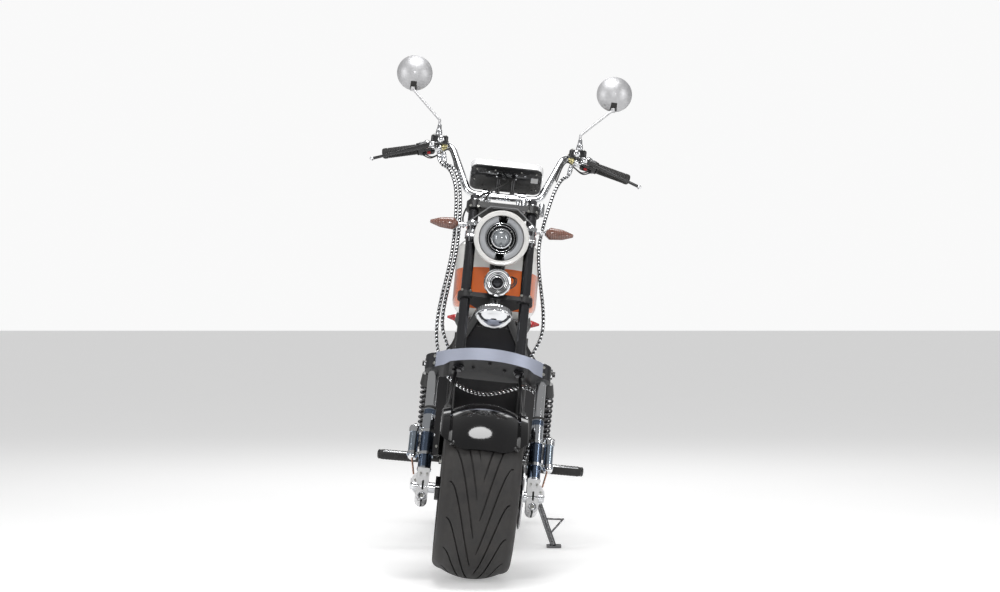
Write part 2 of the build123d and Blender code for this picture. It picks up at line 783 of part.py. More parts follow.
# ---------------------------------------------------------------- rear end
rear_fender_radius = tyre_radius + 22
with BuildPart() as rear_fender:
    angle = radians(50)
    with BuildSketch(
        Plane(origin=rear_axle_centre, x_dir=(1, 0, 0), z_dir=(0, -sin(angle), -cos(angle)))
    ):
        with BuildLine():
            ThreePointArc(
                (-112, rear_fender_radius - 18), (0, rear_fender_radius), (112, rear_fender_radius - 18)
            )
            Line((112, rear_fender_radius - 18), (114, rear_fender_radius - 44))
            Line((114, rear_fender_radius - 44), (111, rear_fender_radius - 44))
            Line((111, rear_fender_radius - 44), (109, rear_fender_radius - 20.5))
            ThreePointArc(
                (109, rear_fender_radius - 20.5),
                (0, rear_fender_radius - 3),
                (-109, rear_fender_radius - 20.5),
            )
            Line((-109, rear_fender_radius - 20.5), (-111, rear_fender_radius - 44))
            Line((-111, rear_fender_radius - 44), (-114, rear_fender_radius - 44))
            Line((-114, rear_fender_radius - 44), (-112, rear_fender_radius - 18))
        make_face()
    revolve(axis=Axis(rear_axle_centre, (-1, 0, 0)), revolution_arc=112)
    # Two struts carry it from the seat rails.
    for side in (-1, 1):
        for y in (wheelbase - 90, wheelbase + 60):
            rise = sqrt((rear_fender_radius - 12) ** 2 - (y - wheelbase) ** 2)
            under_rail = (side * rail_x, y, rail_height - rail_tube_radius - 0.3)
            rod((side * 70, y, tyre_radius + rise - 3), under_rail, 6)
finish(rear_fender, "rear_fender", CHASSIS)

with BuildPart() as swingarm:
    for side in (-1, 1):
        with BuildSketch(side_plane(side * swingarm_x - 11)):
            with BuildLine():
                Polyline(
                    (pivot_y - 18, pivot_z - 20), (pivot_y - 18, pivot_z + 20),
                    (wheelbase - 30, tyre_radius + 24), (wheelbase + 34, tyre_radius + 24),
                    (wheelbase + 34, tyre_radius - 24), (wheelbase - 30, tyre_radius - 24), close=True,
                )
            make_face()
        extrude(amount=22)
        stud_end = (side * (shock_bottom.X + 26), shock_bottom.Y, shock_bottom.Z)
        rod((side * swingarm_x, shock_bottom.Y, shock_bottom.Z), stud_end, 9)
    rod((-swingarm_x, pivot_y, pivot_z), (swingarm_x, pivot_y, pivot_z), 8.7)
    rod((-cradle_x + 5.3, pivot_y, pivot_z), (cradle_x - 5.3, pivot_y, pivot_z), 17)
    rod((-swingarm_x, pivot_y + 50, pivot_z - 6), (swingarm_x, pivot_y + 50, pivot_z - 6), 15)
    block(side_plane(-60, pivot_y + 25, pivot_z - 3), 50, 24, 120)
    bore((-220, wheelbase, tyre_radius), (220, wheelbase, tyre_radius), axle_radius + seat_clearance)
finish(swingarm, "swingarm", CHASSIS)

with BuildPart() as rear_axle:
    rod((-swingarm_x - 38, wheelbase, tyre_radius), (swingarm_x + 38, wheelbase, tyre_radius), axle_radius)
    for side in (-1, 1):
        with BuildSketch(side_plane(side * (swingarm_x + 11), wheelbase, tyre_radius)):
            RegularPolygon(17, 6)
        extrude(amount=side * 14)
        inner = disc_x + disc_thickness / 2 + 1 if side > 0 else hub_half_width + 1
        rod((side * inner, wheelbase, tyre_radius), (side * (swingarm_x - 11), wheelbase, tyre_radius), 16)
finish(rear_axle, "rear_axle", CHASSIS)

spring_radius = 20
spring_wire = 4.5
spring_turns = 9
damper_radius = 15
lower_seat = 40  # the spring's seats, measured up from the lower eye and down from the upper one
lower_seat_height = 7
upper_seat = 72
shock_run = shock_top - shock_bottom
shock_along = shock_run.normalized()
with BuildPart() as shocks:
    for side in (-1, 1):
        top = Vector(side * shock_top.X, shock_top.Y, shock_top.Z)
        bottom = Vector(side * shock_bottom.X, shock_bottom.Y, shock_bottom.Z)
        rod(bottom + shock_along * 6, bottom + shock_along * 170, damper_radius)
        rod(bottom + shock_along * 170, top - shock_along * 6, 8)
        rod(bottom + shock_along * lower_seat, bottom + shock_along * (lower_seat + lower_seat_height), 25)
        rod(top - shock_along * upper_seat, top - shock_along * 34, 25, 19)
        for eye in (top, bottom):
            rod((eye.X - 13, eye.Y, eye.Z), (eye.X + 13, eye.Y, eye.Z), 17)
            bore((eye.X - 16, eye.Y, eye.Z), (eye.X + 16, eye.Y, eye.Z), 9.3)
finish(shocks, "rear_shocks", CHASSIS)

# Each spring is a sleeve with a ridge for each of its turns.
coil_start = lower_seat + lower_seat_height + seat_clearance
coil_end = shock_run.length - upper_seat - seat_clearance
coil_pitch = (coil_end - coil_start) / spring_turns
with BuildPart() as springs:
    for side in (-1, 1):
        bottom = Vector(side * shock_bottom.X, shock_bottom.Y, shock_bottom.Z)
        ridges = []
        for turn in range(spring_turns):
            start = coil_start + turn * coil_pitch
            ridges += [(spring_radius - 2, start), (spring_radius + spring_wire, start + coil_pitch * 0.3)]
            ridges += [(spring_radius + spring_wire, start + coil_pitch * 0.7)]
        ridges += [(spring_radius - 2, coil_end)]
        inner = damper_radius + seat_clearance
        with BuildSketch(Plane(origin=bottom, x_dir=(1, 0, 0), z_dir=shock_along.cross(Vector(1, 0, 0)))):
            with BuildLine():
                Polyline(*((r, -h) for r, h in ridges), (inner, -coil_end), (inner, -coil_start), close=True)
            make_face()
        revolve(axis=Axis(bottom, shock_along))
finish(springs, "rear_springs", CHASSIS)

# ---------------------------------------------------------------- small chassis pieces
with BuildPart() as controller:
    back_face = Plane(origin=(0, box_back + seat_clearance, 500), x_dir=(-1, 0, 0), z_dir=(0, 1, 0))
    block(back_face, 130, 160, 14, 6)
    with BuildSketch(Plane(origin=(0, box_back + 14, 500), x_dir=(-1, 0, 0), z_dir=(0, 1, 0))):
        with GridLocations(14, 0, 9, 1):
            Rectangle(4, 156)
    extrude(amount=22)
finish(controller, "controller", CHASSIS)

socket_y = 760
socket_z = 500
with BuildPart() as charge_socket:
    flange_end = Vector(-box_half_width - 10, socket_y, socket_z)
    rod((-box_half_width - seat_clearance, socket_y, socket_z), flange_end, 19)
    rod(flange_end, flange_end - Vector(6, 0, 0), 15)
    bore((-box_half_width - 2, socket_y, socket_z), (-box_half_width - 20, socket_y, socket_z), 11)
finish(charge_socket, "charge_socket", CHASSIS)

peg_y = 610
peg_outer = 310
peg_inner = 160
peg_rubber_radius = 15
with BuildPart() as footpegs:
    for side in (-1, 1):
        block(side_plane(side * (cradle_x + cradle_tube_radius + seat_clearance), peg_y, cradle_low), 46, 26,
              side * 8, 6)
        rod((side * (cradle_x + 20), peg_y, cradle_low), (side * (peg_inner + 8), peg_y, cradle_low), 9)
        rod((side * peg_inner, peg_y, cradle_low), (side * (peg_inner + 8), peg_y, cradle_low), 15)
        # The rubber, between two end rings.
        rod((side * (peg_inner + 8), peg_y, cradle_low), (side * (peg_outer - 6), peg_y, cradle_low),
            peg_rubber_radius)
        rod((side * (peg_outer - 6), peg_y, cradle_low), (side * peg_outer, peg_y, cradle_low), 14)
finish(footpegs, "footpegs", CHASSIS)

tang_radius = 3
with BuildPart() as side_stand:
    rod(stand_pivot - stand_axis * 9, stand_pivot + stand_axis * 8, 15)
    rod(stand_pivot - stand_axis * 0.5, stand_foot, 9)
    with BuildSketch(floor_plane):
        with Locations(((stand_foot_x + 2) / lean_cos, stand_foot_y)):
            RectangleRounded(46, 58, 10)
    extrude(amount=7)
    # A wire tang on its outer side, for the rider's heel.
    tang_top = stand_pivot + (stand_foot - stand_pivot) * 0.66
    tang_low = stand_pivot + (stand_foot - stand_pivot) * 0.86
    tang_tip = tang_top + Vector(58, -6, 4)
    rod(tang_top, tang_tip, tang_radius)
    rod(tang_tip + Vector(-2, 0, 2), tang_tip + Vector(2, 0, -2), tang_radius + 0.6)
    rod(tang_tip, tang_low, tang_radius)
    bore(
        stand_pivot - stand_axis * 17,
        stand_pivot + stand_axis * 9,
        stand_bolt_radius + running_clearance,
    )
finish(side_stand, "side_stand", CHASSIS)


def caliper(centre, angle, name, frame, anchor, anchor_end):
    """A brake caliper straddling a disc at an angle round the axle, with the boss that holds it."""
    seat = Plane(
        origin=centre + Vector(disc_x, 0, 0),
        x_dir=(0, cos(radians(angle)), sin(radians(angle))),
        z_dir=(1, 0, 0),
    )
    with BuildPart() as body:
        with BuildSketch(seat.offset(-12)):
            with Locations((disc_radius - 4, 0)):
                RectangleRounded(46, 66, 12)
        extrude(amount=20)
        with BuildSketch(seat.offset(-3.5)):
            Circle(disc_radius + 3)
        extrude(amount=7, mode=Mode.SUBTRACT)
        rod((disc_x + 6, anchor.Y, anchor.Z), (anchor_end - seat_clearance, anchor.Y, anchor.Z), 9)
    finish(body, name, frame)


caliper(front_axle, 45, "front_brake_caliper", BARS, on_axis(80, leg_ahead), leg_x - slider_radius)
rear_anchor = rear_axle_centre + Vector(0, -78, 22)
caliper(rear_axle_centre, 150, "rear_brake_caliper", CHASSIS, rear_anchor, swingarm_x - 11)

# ---------------------------------------------------------------- lamps
lamp = Vector(0, 270, 953)
bezel_radius = 81
bowl_depth = 44
guide_height = 8
lens_bulge = dome_middle(24, 12)
with BuildPart() as headlight:
    with BuildSketch(side_plane(0)):
        with BuildLine():
            Polyline(
                (lamp.Y, lamp.Z + bezel_radius - 10), (lamp.Y - 2, lamp.Z + bezel_radius - 3),
                (lamp.Y + 6, lamp.Z + bezel_radius), (lamp.Y + 20, lamp.Z + bezel_radius - 2),
                (lamp.Y + 28, lamp.Z + bezel_radius - 8), (lamp.Y + 50, lamp.Z + 68),
                (lamp.Y + 67, lamp.Z + 57), (lamp.Y + 78, lamp.Z + 40), (lamp.Y + 78, lamp.Z),
                (lamp.Y + bowl_depth, lamp.Z), (lamp.Y + bowl_depth, lamp.Z + 44),
                (lamp.Y + 12, lamp.Z + bezel_radius - 12), (lamp.Y + 12, lamp.Z + bezel_radius - 10),
                close=True,
            )
        make_face()
    revolve(axis=Axis(lamp, (0, 1, 0)))
    # The light guide, in two arcs with a gap above and below.
    with BuildSketch(front_plane(0, lamp.Y + 12, lamp.Z)):
        Circle(bezel_radius - 10)
        Circle(48, mode=Mode.SUBTRACT)
        with Locations((0, 57), (0, -57)):
            Rectangle(24, 30, mode=Mode.SUBTRACT)
    extrude(amount=guide_height)
    # The projector in the middle of the bowl.
    with BuildSketch(side_plane(0)):
        with BuildLine():
            Polyline((lamp.Y + bowl_depth, lamp.Z), (lamp.Y + bowl_depth, lamp.Z + 31),
                     (lamp.Y + 18, lamp.Z + 31), (lamp.Y + 18, lamp.Z + 24))
            ThreePointArc((lamp.Y + 18, lamp.Z + 24), (lamp.Y + 6 + lens_bulge[1], lamp.Z + lens_bulge[0]),
                          (lamp.Y + 6, lamp.Z))
            Line((lamp.Y + 6, lamp.Z), (lamp.Y + bowl_depth, lamp.Z))
        make_face()
    revolve(axis=Axis(lamp, (0, 1, 0)))
finish(headlight, "headlight", BARS)

bracket_y = 311
ear_height = 792
bracket_width = 20
with BuildPart() as headlight_bracket:
    strip = ((-92, 938), (-92, 998), (-39, 1043), (39, 1043), (92, 998), (92, 938))
    with BuildSketch(front_plane(0, bracket_y, 0)):
        for start, end in zip(strip, strip[1:]):
            with Locations((Vector(*start) + Vector(*end)) * 0.5):
                angle = degrees(atan2(end[1] - start[1], end[0] - start[0]))
                Rectangle(sqrt((end[0] - start[0]) ** 2 + (end[1] - start[1]) ** 2) + 3, 3.2, rotation=angle)
    extrude(amount=bracket_width)
    for side in (-1, 1):
        rod((side * (bezel_radius - 6.6), bracket_y - 8, lamp.Z), (side * 98, bracket_y - 8, lamp.Z), 6)
        clamp_centre = on_axis(ear_height, upper_tube_ahead) + Vector(side * upper_tube_x, 0, 0)
        with BuildSketch(Plane(origin=clamp_centre, x_dir=(1, 0, 0), z_dir=up_the_axis)):
            Circle(upper_tube_radius + 4)
            Circle(upper_tube_radius + seat_clearance, mode=Mode.SUBTRACT)
        extrude(amount=10, both=True)
        block(front_plane(side * 92, clamp_centre.Y - 21, clamp_centre.Z), 12, 12, 12)
finish(headlight_bracket, "headlight_bracket", BARS)

spot_height = 622
spot_ahead = 100
spot = on_axis(spot_height, spot_ahead)
spot_radius = 40
with BuildPart() as spotlight:
    with BuildSketch(side_plane(0)):
        with BuildLine():
            Polyline(
                (spot.Y, spot.Z), (spot.Y, spot.Z + 20), (spot.Y - 22, spot.Z + 31),
                (spot.Y - 24, spot.Z + spot_radius - 4), (spot.Y - 14, spot.Z + spot_radius),
                (spot.Y - 4, spot.Z + spot_radius - 2), (spot.Y + 14, spot.Z + 33),
                (spot.Y + 30, spot.Z + 22),
                (spot.Y + 30, spot.Z), close=True,
            )
        make_face()
    revolve(axis=Axis(spot, (0, 1, 0)))
    spot_foot = on_axis(lower_yoke_height + lower_yoke_thickness / 2 - collar_rise + seat_clearance, 62)
    rod(spot_foot, spot_foot + up_the_axis * 18, 8)
finish(spotlight, "spotlight", BARS)

horn_radius = 54
horn_ahead = 58
horn_drop = 22  # from the yoke down to the horn's back plate
horn_bulge = dome_middle(horn_radius - 8, 28)
with BuildPart() as horn:
    low = lower_yoke_height - lower_yoke_thickness / 2
    neck = horn_drop + collar_rise - seat_clearance
    with BuildSketch(side_plane(0, -horn_ahead, low - horn_drop)):
        with BuildLine():
            Polyline(
                (0, neck), (14, neck), (14, -9), (horn_radius - 6, -9),
                (horn_radius, -13), (horn_radius, -24), (horn_radius - 4, -30), (horn_radius - 8, -34),
            )
            ThreePointArc((horn_radius - 8, -34), (horn_bulge[0], -62 + horn_bulge[1]), (0, -62))
            Line((0, -62), (0, neck))
        make_face()
    revolve(axis=Axis((0, -horn_ahead, low), (0, 0, 1)))
finish(horn, "horn", FORK)

blinker_height = 825
blinker = on_axis(blinker_height, upper_tube_ahead)
lens_start = 127
with BuildPart() as blinkers:
    for side in (-1, 1):
        collar = on_axis(blinker_height - 8, upper_tube_ahead) + Vector(side * upper_tube_x, 0, 0)
        with BuildSketch(Plane(origin=collar, x_dir=(1, 0, 0), z_dir=up_the_axis)):
            Circle(upper_tube_radius + 4)
            Circle(upper_tube_radius + seat_clearance, mode=Mode.SUBTRACT)
        extrude(amount=16)
        rod((side * (upper_tube_x + upper_tube_radius + 1.5), blinker.Y, blinker.Z),
            (side * (lens_start + 1), blinker.Y, blinker.Z), 5.5)
        for x, half_height in ((lens_start, 7), (142, 18), (180, 15), (212, 4)):
            with BuildSketch(side_plane(side * x, blinker.Y, blinker.Z)):
                RegularPolygon(half_height, 6, rotation=0)
        loft(ruled=True)
finish(blinkers, "front_indicators", BARS)

# ---------------------------------------------------------------- bars and controls
bar_y = 444
bar_z = 1080
bar_rise = (172, 535, 1226)
bar_end = (bar_end_x, 591.5, 1181.7)
bar_points = (
    (-bar_end[0], bar_end[1], bar_end[2]), (-bar_rise[0], bar_rise[1], bar_rise[2]), (-106, bar_y, bar_z),
    (106, bar_y, bar_z), bar_rise, bar_end,
)
grip_run = (Vector(*bar_end) - Vector(*bar_rise)).normalized()
grip_length = 108
riser_x = 52
with BuildPart() as handlebar:
    tube(bar_points, 34, bar_radius)
    # The risers stand on the upper yoke and clamp the bar.
    for side in (-1, 1):
        foot = fork_frame * Pos(side * riser_x, -18, tube_top - collar_rise + seat_clearance)
        block(Plane(origin=foot.position, x_dir=(1, 0, 0), z_dir=up_the_axis), 34, 34, 6, 8)
        rod(foot.position + up_the_axis * 3, (side * riser_x, bar_y, bar_z), 15, 12)
        rod((side * riser_x - 13, bar_y, bar_z), (side * riser_x + 13, bar_y, bar_z), bar_radius + 8)
finish(handlebar, "handlebar", BARS)


def along_grip(distance, side):
    """A point on the grip's axis, measured inward from the bar end."""
    point = Vector(*bar_end) - grip_run * distance
    return Vector(side * point.X, point.Y, point.Z)


def perch(side):
    """The middle of the underside of a control's perch."""
    return along_grip(grip_length + 64, side) + Vector(0, -24, 6)


perch_width = 52
perch_height = 26
hose_drop = 11  # from the control's perch down to the start of a hose
hose_start_z = perch(1).Z - hose_drop
brake_start = ((-206, 513, hose_start_z), (-201, 505, hose_start_z - 25))
right_start = ((-191, 513, hose_start_z), (-187, 505, hose_start_z - 24))
left_start = ((192, 513, hose_start_z), (189, 507, hose_start_z - 23))
with BuildPart() as grips:
    for side in (-1, 1):
        rod(along_grip(grip_length, side), along_grip(-6, side), 16)
        bore(along_grip(grip_length + 1, side), along_grip(0, side), bar_radius + seat_clearance)
finish(grips, "grips", BARS)

with BuildPart() as clusters:
    for start in (brake_start, right_start, left_start):
        first_run = Vector(*start[1]) - Vector(*start[0])
        rod(start[0], Vector(*start[0]) - first_run.normalized() * (hose_drop + 3), 7)
    for side in (-1, 1):
        rod(along_grip(grip_length + 46, side), along_grip(grip_length + 2, side), 21)
        rod(along_grip(grip_length + 74, side), along_grip(grip_length + 50, side), 17)
        block(Plane(origin=perch(side), x_dir=(1, 0, 0), z_dir=(0, 0, 1)), perch_width, 34, perch_height, 6)
        bore(along_grip(grip_length + 96, side), along_grip(grip_length, side), bar_radius + seat_clearance)
finish(clusters, "control_clusters", BARS)

# ---------------------------------------------------------------- hoses (turned bike frame)
hose_radius = 5.5
crown_gland = (fork_frame * Pos(gland_x, gland_back, crown_top + gland_height)).position
right_gland = (fork_frame * Pos(-gland_x, gland_back, crown_top + gland_height)).position
caliper_side = front_axle + Vector(disc_x, 0, 0) + Vector(0, 1, 1).normalized() * (disc_radius + 19)
# The brake hose comes down the right of the fork, loops under the crown and runs behind the left leg.
brake_route = (
    *brake_start, (-172, 479, 1153), (-150, 452, 1110),
    (-141, 425, 1057), (-138, 395, 1001), (-136.5, 363, 943), (-139, 330, 884), (-147, 298, 821),
    (-156, 271, 761), (-161, 254, 702), (-159, 248, 654), (-150, 243, 609), (-135, 231, 568),
    (-106, 216, 531), (-60, 208, 508), (-12, 203, 499), (34, 204, 508), (76, 208, 524),
    (104, 210.5, 534), (132.6, 204.2, 528), (151, 191.5, 508.3), (152.8, 174.7, 478), (149, 153, 440),
    (141, 130, 398), (131, 109, 360), caliper_side + Vector(0, 18, 18), caliper_side,
)
# The two control hoses end in the glands on the crown.
right_route = (
    *right_start, (-159, 479, 1157), (-137.5, 453, 1112),
    (-128.5, 426, 1060), (-125.5, 396, 1004), (-124, 364, 946), (-126.5, 331, 887), (-134.5, 299, 824),
    (-143, 272, 764), (-147, 256, 706), (-142, 250, 668), (-128, 244, 638),
    right_gland + up_the_axis * 22, right_gland,
)
left_route = (
    *left_start, (171, 489, 1158), (151, 463, 1122),
    (136, 432, 1066), (123, 393, 1005), (114, 357, 946), (117, 322, 888), (129, 291, 824),
    (141, 264, 764), (147, 251, 708), (141, 247, 668), (127, 243, 638),
    crown_gland + up_the_axis * 22, crown_gland,
)


def hose(points):
    """An armoured hose: straight runs joined by arcs as large as the runs allow."""
    marks = [Vector(*point) for point in points]
    runs = [after - before for before, after in zip(marks, marks[1:])]
    radii = [
        0.45 * min(a.length, b.length) / tan(radians(a.get_angle(b)) / 2) for a, b in zip(runs, runs[1:])
    ]
    print("hose radii", [round(radius) for radius in radii])
    with BuildLine() as route:
        FilletPolyline(*marks, radius=radii)
    with BuildSketch(Plane(route.line ^ 0)) as section:
        Circle(hose_radius)
    sweep(section.sketch, path=route.line)


with BuildPart() as hoses:
    for route_points in (brake_route, right_route, left_route):
        hose(route_points)
finish(hoses, "fork_hoses", BARS)

lever_pivot_in = 58
lever_reach = 36  # past the bar end
with BuildPart() as levers:
    for side in (-1, 1):
        pivot = along_grip(grip_length + lever_pivot_in, side) + Vector(side * 16, -52, 2)
        tip = Vector(side * (bar_end_x + lever_reach), bar_end[1] - 44, bar_end[2] - 22)
        rod(pivot + Vector(0, 0, -7), pivot + Vector(0, 0, 7), 9)
        rod(pivot, tip, 6.5, 4.5)
        rod(tip - Vector(side * 5, 0, 0), tip + Vector(side * 6, 0, 0), 6.5)
finish(levers, "brake_levers", BARS)

mirror_x = 306
mirror_z = 1434
mirror_radius = 53.5
mirror_y = 556
mirror_base = perch(1) + Vector(4, 6, perch_height + seat_clearance)
mirror_bulge = dome_middle(mirror_radius, 26)
with BuildPart() as mirrors:
    for side in (-1, 1):
        base = Vector(side * mirror_base.X, mirror_base.Y, mirror_base.Z)
        knuckle = Vector(side * mirror_x, mirror_y + 4, mirror_z - mirror_radius + 4)
        rod(base, base + Vector(0, 0, 30), 9, 5)
        tube((base + Vector(0, 0, 29), base + Vector(0, 0, 46), knuckle), 8, 4)
        rod(knuckle - Vector(0, 0, 7), knuckle + Vector(0, 0, 6), 7)
        with BuildSketch(side_plane(side * mirror_x, mirror_y, mirror_z)) as shell:
            with BuildLine():
                ThreePointArc((-14, 0), (-14 + mirror_bulge[1], mirror_bulge[0]), (12, mirror_radius))
                Polyline((12, mirror_radius), (18, mirror_radius), (18, mirror_radius - 3),
                         (16, mirror_radius - 3), (16, 0), (-14, 0))
            make_face()
        revolve(shell.sketch, axis=Axis((side * mirror_x, mirror_y, mirror_z), (0, 1, 0)))
finish(mirrors, "mirrors", BARS)

meter_tilt = 40
meter_centre = Vector(0, 468, 1142)
meter_width = 216
meter_depth = 110
meter_height = 26
meter_plane = Plane(
    origin=meter_centre, x_dir=(1, 0, 0),
    z_dir=(0, sin(radians(meter_tilt)), cos(radians(meter_tilt))),
)
with BuildPart() as meter:
    with BuildSketch(meter_plane.offset(-meter_height / 2)):
        RectangleRounded(meter_width, meter_depth, 22)
    extrude(amount=meter_height)
    # Two lugs bring it down onto the handlebar.
    for side in (-1, 1):
        rod((side * 22, bar_y, bar_z + bar_radius + seat_clearance), (side * 22, bar_y, bar_z + 72), 7)
finish(meter, "meter", BARS)

# ---------------------------------------------------------------- tail
rail_end = wheelbase + 70 + seat_clearance
rearward = {"x_dir": (-1, 0, 0), "z_dir": (0, 1, 0)}
plate_hole_x = 70
plate_hole_radius = 3.3
rear_lens_start = 88
rear_lens_y = rail_end + 26
rear_lens_z = 698
with BuildPart() as tail_bracket:
    block(Plane(origin=(0, rail_end, rail_height), **rearward), 210, 24, 8)
    block(Plane(origin=(0, rail_end + 3, rail_height - 45), **rearward), 40, 90, 5)
    with BuildSketch(Plane(origin=(0, rail_end + 8, rail_height - 75), **rearward)):
        RectangleRounded(190, 110, 6)
        with Locations((plate_hole_x, 30), (-plate_hole_x, 30)):
            Circle(plate_hole_radius, mode=Mode.SUBTRACT)
    extrude(amount=3)
    for side in (-1, 1):
        block(Plane(origin=(side * 72, rail_end, (rail_height + rear_lens_z) / 2), **rearward), 16,
              rear_lens_z - rail_height + 24, 8)
        rod((side * 72, rail_end + 4, rear_lens_z), (side * 72, rear_lens_y + 5, rear_lens_z), 6)
        rod((side * 72, rear_lens_y, rear_lens_z),
            (side * (rear_lens_start - seat_clearance), rear_lens_y, rear_lens_z), 4.5)
finish(tail_bracket, "plate_bracket", CHASSIS)

with BuildPart() as rear_lights:
    block(Plane(origin=(0, rail_end + 8 + seat_clearance, rail_height + 2), **rearward), 110, 36, 26, 12)
    for side in (-1, 1):
        for out, half_height in ((0, 7), (12, 17), (46, 14), (72, 4)):
            with BuildSketch(side_plane(side * (rear_lens_start + out), rear_lens_y, rear_lens_z)):
                RegularPolygon(half_height, 6)
        loft(ruled=True)
finish(rear_lights, "rear_lights", CHASSIS)

# ---------------------------------------------------------------- parked pose and export
os.makedirs("parts", exist_ok=True)
placed = [frame * part for part, frame in pieces]
low_x = min(part.bounding_box().min.X for part in placed)
high_x = max(part.bounding_box().max.X for part in placed)
low_y = min(part.bounding_box().min.Y for part in placed)
high_y = max(part.bounding_box().max.Y for part in placed)
low_z = min(part.bounding_box().min.Z for part in placed)
to_row = Location((-(low_x + high_x) / 2, -(low_y + high_y) / 2, -low_z))
for part, (source, frame) in zip(placed, pieces):
    moved = to_row * part
    moved.label = source.label
    export_step(moved, f"parts/{source.label}.step")
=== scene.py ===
"""Electric mini motorcycle: the finish, the soft parts and the small parts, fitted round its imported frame.

Every size is in metres. Three frames are used: the bike frame (upright, +X to the rider's left, +Y to the
rear, floor at zero), the bar frame (the bike frame turned with the steering), and the fork frame (Z up the
steering axis, Y to the rear, origin level with the front axle).
"""

import logging
from collections.abc import Callable, Iterable, Sequence
from dataclasses import dataclass, field
from enum import Enum
from math import asin, cos, exp, hypot, pi, radians, sin, sqrt, tau

import bmesh
import bpy
from mathutils import Matrix, Vector
from mathutils.bvhtree import BVHTree
from mathutils.geometry import delaunay_2d_cdt


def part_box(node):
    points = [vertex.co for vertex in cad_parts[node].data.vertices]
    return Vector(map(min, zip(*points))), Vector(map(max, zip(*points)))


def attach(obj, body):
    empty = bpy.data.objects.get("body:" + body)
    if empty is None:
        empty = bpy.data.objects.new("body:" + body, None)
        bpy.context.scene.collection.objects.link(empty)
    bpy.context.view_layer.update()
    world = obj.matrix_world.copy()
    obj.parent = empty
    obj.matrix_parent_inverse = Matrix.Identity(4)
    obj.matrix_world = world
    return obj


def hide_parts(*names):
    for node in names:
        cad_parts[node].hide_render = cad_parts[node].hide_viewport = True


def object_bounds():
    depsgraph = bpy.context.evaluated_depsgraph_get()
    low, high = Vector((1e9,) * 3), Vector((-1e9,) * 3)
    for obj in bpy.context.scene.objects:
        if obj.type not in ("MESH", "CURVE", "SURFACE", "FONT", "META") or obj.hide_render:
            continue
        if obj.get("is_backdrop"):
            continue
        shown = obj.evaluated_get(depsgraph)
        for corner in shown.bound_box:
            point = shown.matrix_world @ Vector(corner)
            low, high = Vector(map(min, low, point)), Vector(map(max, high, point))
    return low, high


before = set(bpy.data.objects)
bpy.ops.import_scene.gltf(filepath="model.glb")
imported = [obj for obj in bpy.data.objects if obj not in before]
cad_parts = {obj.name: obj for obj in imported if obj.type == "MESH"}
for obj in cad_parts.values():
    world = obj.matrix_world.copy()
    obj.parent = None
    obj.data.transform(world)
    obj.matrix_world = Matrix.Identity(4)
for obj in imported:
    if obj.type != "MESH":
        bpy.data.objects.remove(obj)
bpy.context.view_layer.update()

log = logging.getLogger("motorcycle")
Point = tuple[float, float, float]
Colour = tuple[float, float, float]


# ------------------------------------------------------------------ frames and bodies
class Body(Enum):
    """The bodies of the machine that a piece can ride on."""

    CHASSIS = "chassis"
    STEERING = "steering"
    FRONT_WHEEL = "front_wheel"
    REAR_WHEEL = "rear_wheel"
    SIDE_STAND = "side_stand"


def middle(node: str) -> Vector:
    """The centre of a node's box."""
    low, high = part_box(node)
    return (low + high) / 2


LEAN = radians(5.1)
RAKE = radians(27)
STEER = radians(2)
FORK_OFFSET = 0.033
FRONT_AXLE = middle("front_tyre")
WHEELBASE = middle("rear_tyre").y - FRONT_AXLE.y
TYRE_RADIUS = (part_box("rear_tyre")[1].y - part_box("rear_tyre")[0].y) / 2

BIKE = (
    Matrix.Translation(FRONT_AXLE)
    @ Matrix.Rotation(LEAN, 4, "Y")
    @ Matrix.Translation((0, 0, -TYRE_RADIUS))
)
FORK_IN_BIKE = Matrix.Translation(
    (0, FORK_OFFSET * cos(RAKE), TYRE_RADIUS - FORK_OFFSET * sin(RAKE))
) @ Matrix.Rotation(-RAKE, 4, "X")
FORK = BIKE @ FORK_IN_BIKE @ Matrix.Rotation(STEER, 4, "Z")
BARS = FORK @ FORK_IN_BIKE.inverted()
UP_THE_AXIS = (FORK_IN_BIKE.to_3x3() @ Vector((0, 0, 1))).normalized()
SIDES = (-1, 1)


def on_axis(height: float, ahead: float = 0.0) -> Vector:
    """A point of the bar frame at a height up the steering axis.

    Args:
        height: distance up the axis from the level of the axle.
        ahead: distance in front of the axis.

    Returns:
        The point.
    """
    return FORK_IN_BIKE @ Vector((0, -ahead, height))


def side_name(side: int) -> str:
    """The word for a side of the machine, as the rider sees it."""
    return "right" if side < 0 else "left"


def mirrored(point: Sequence[float], side: int) -> Vector:
    """A point of the left side, or its twin on the right where side is -1."""
    return Vector((point[0] * side, point[1], point[2]))


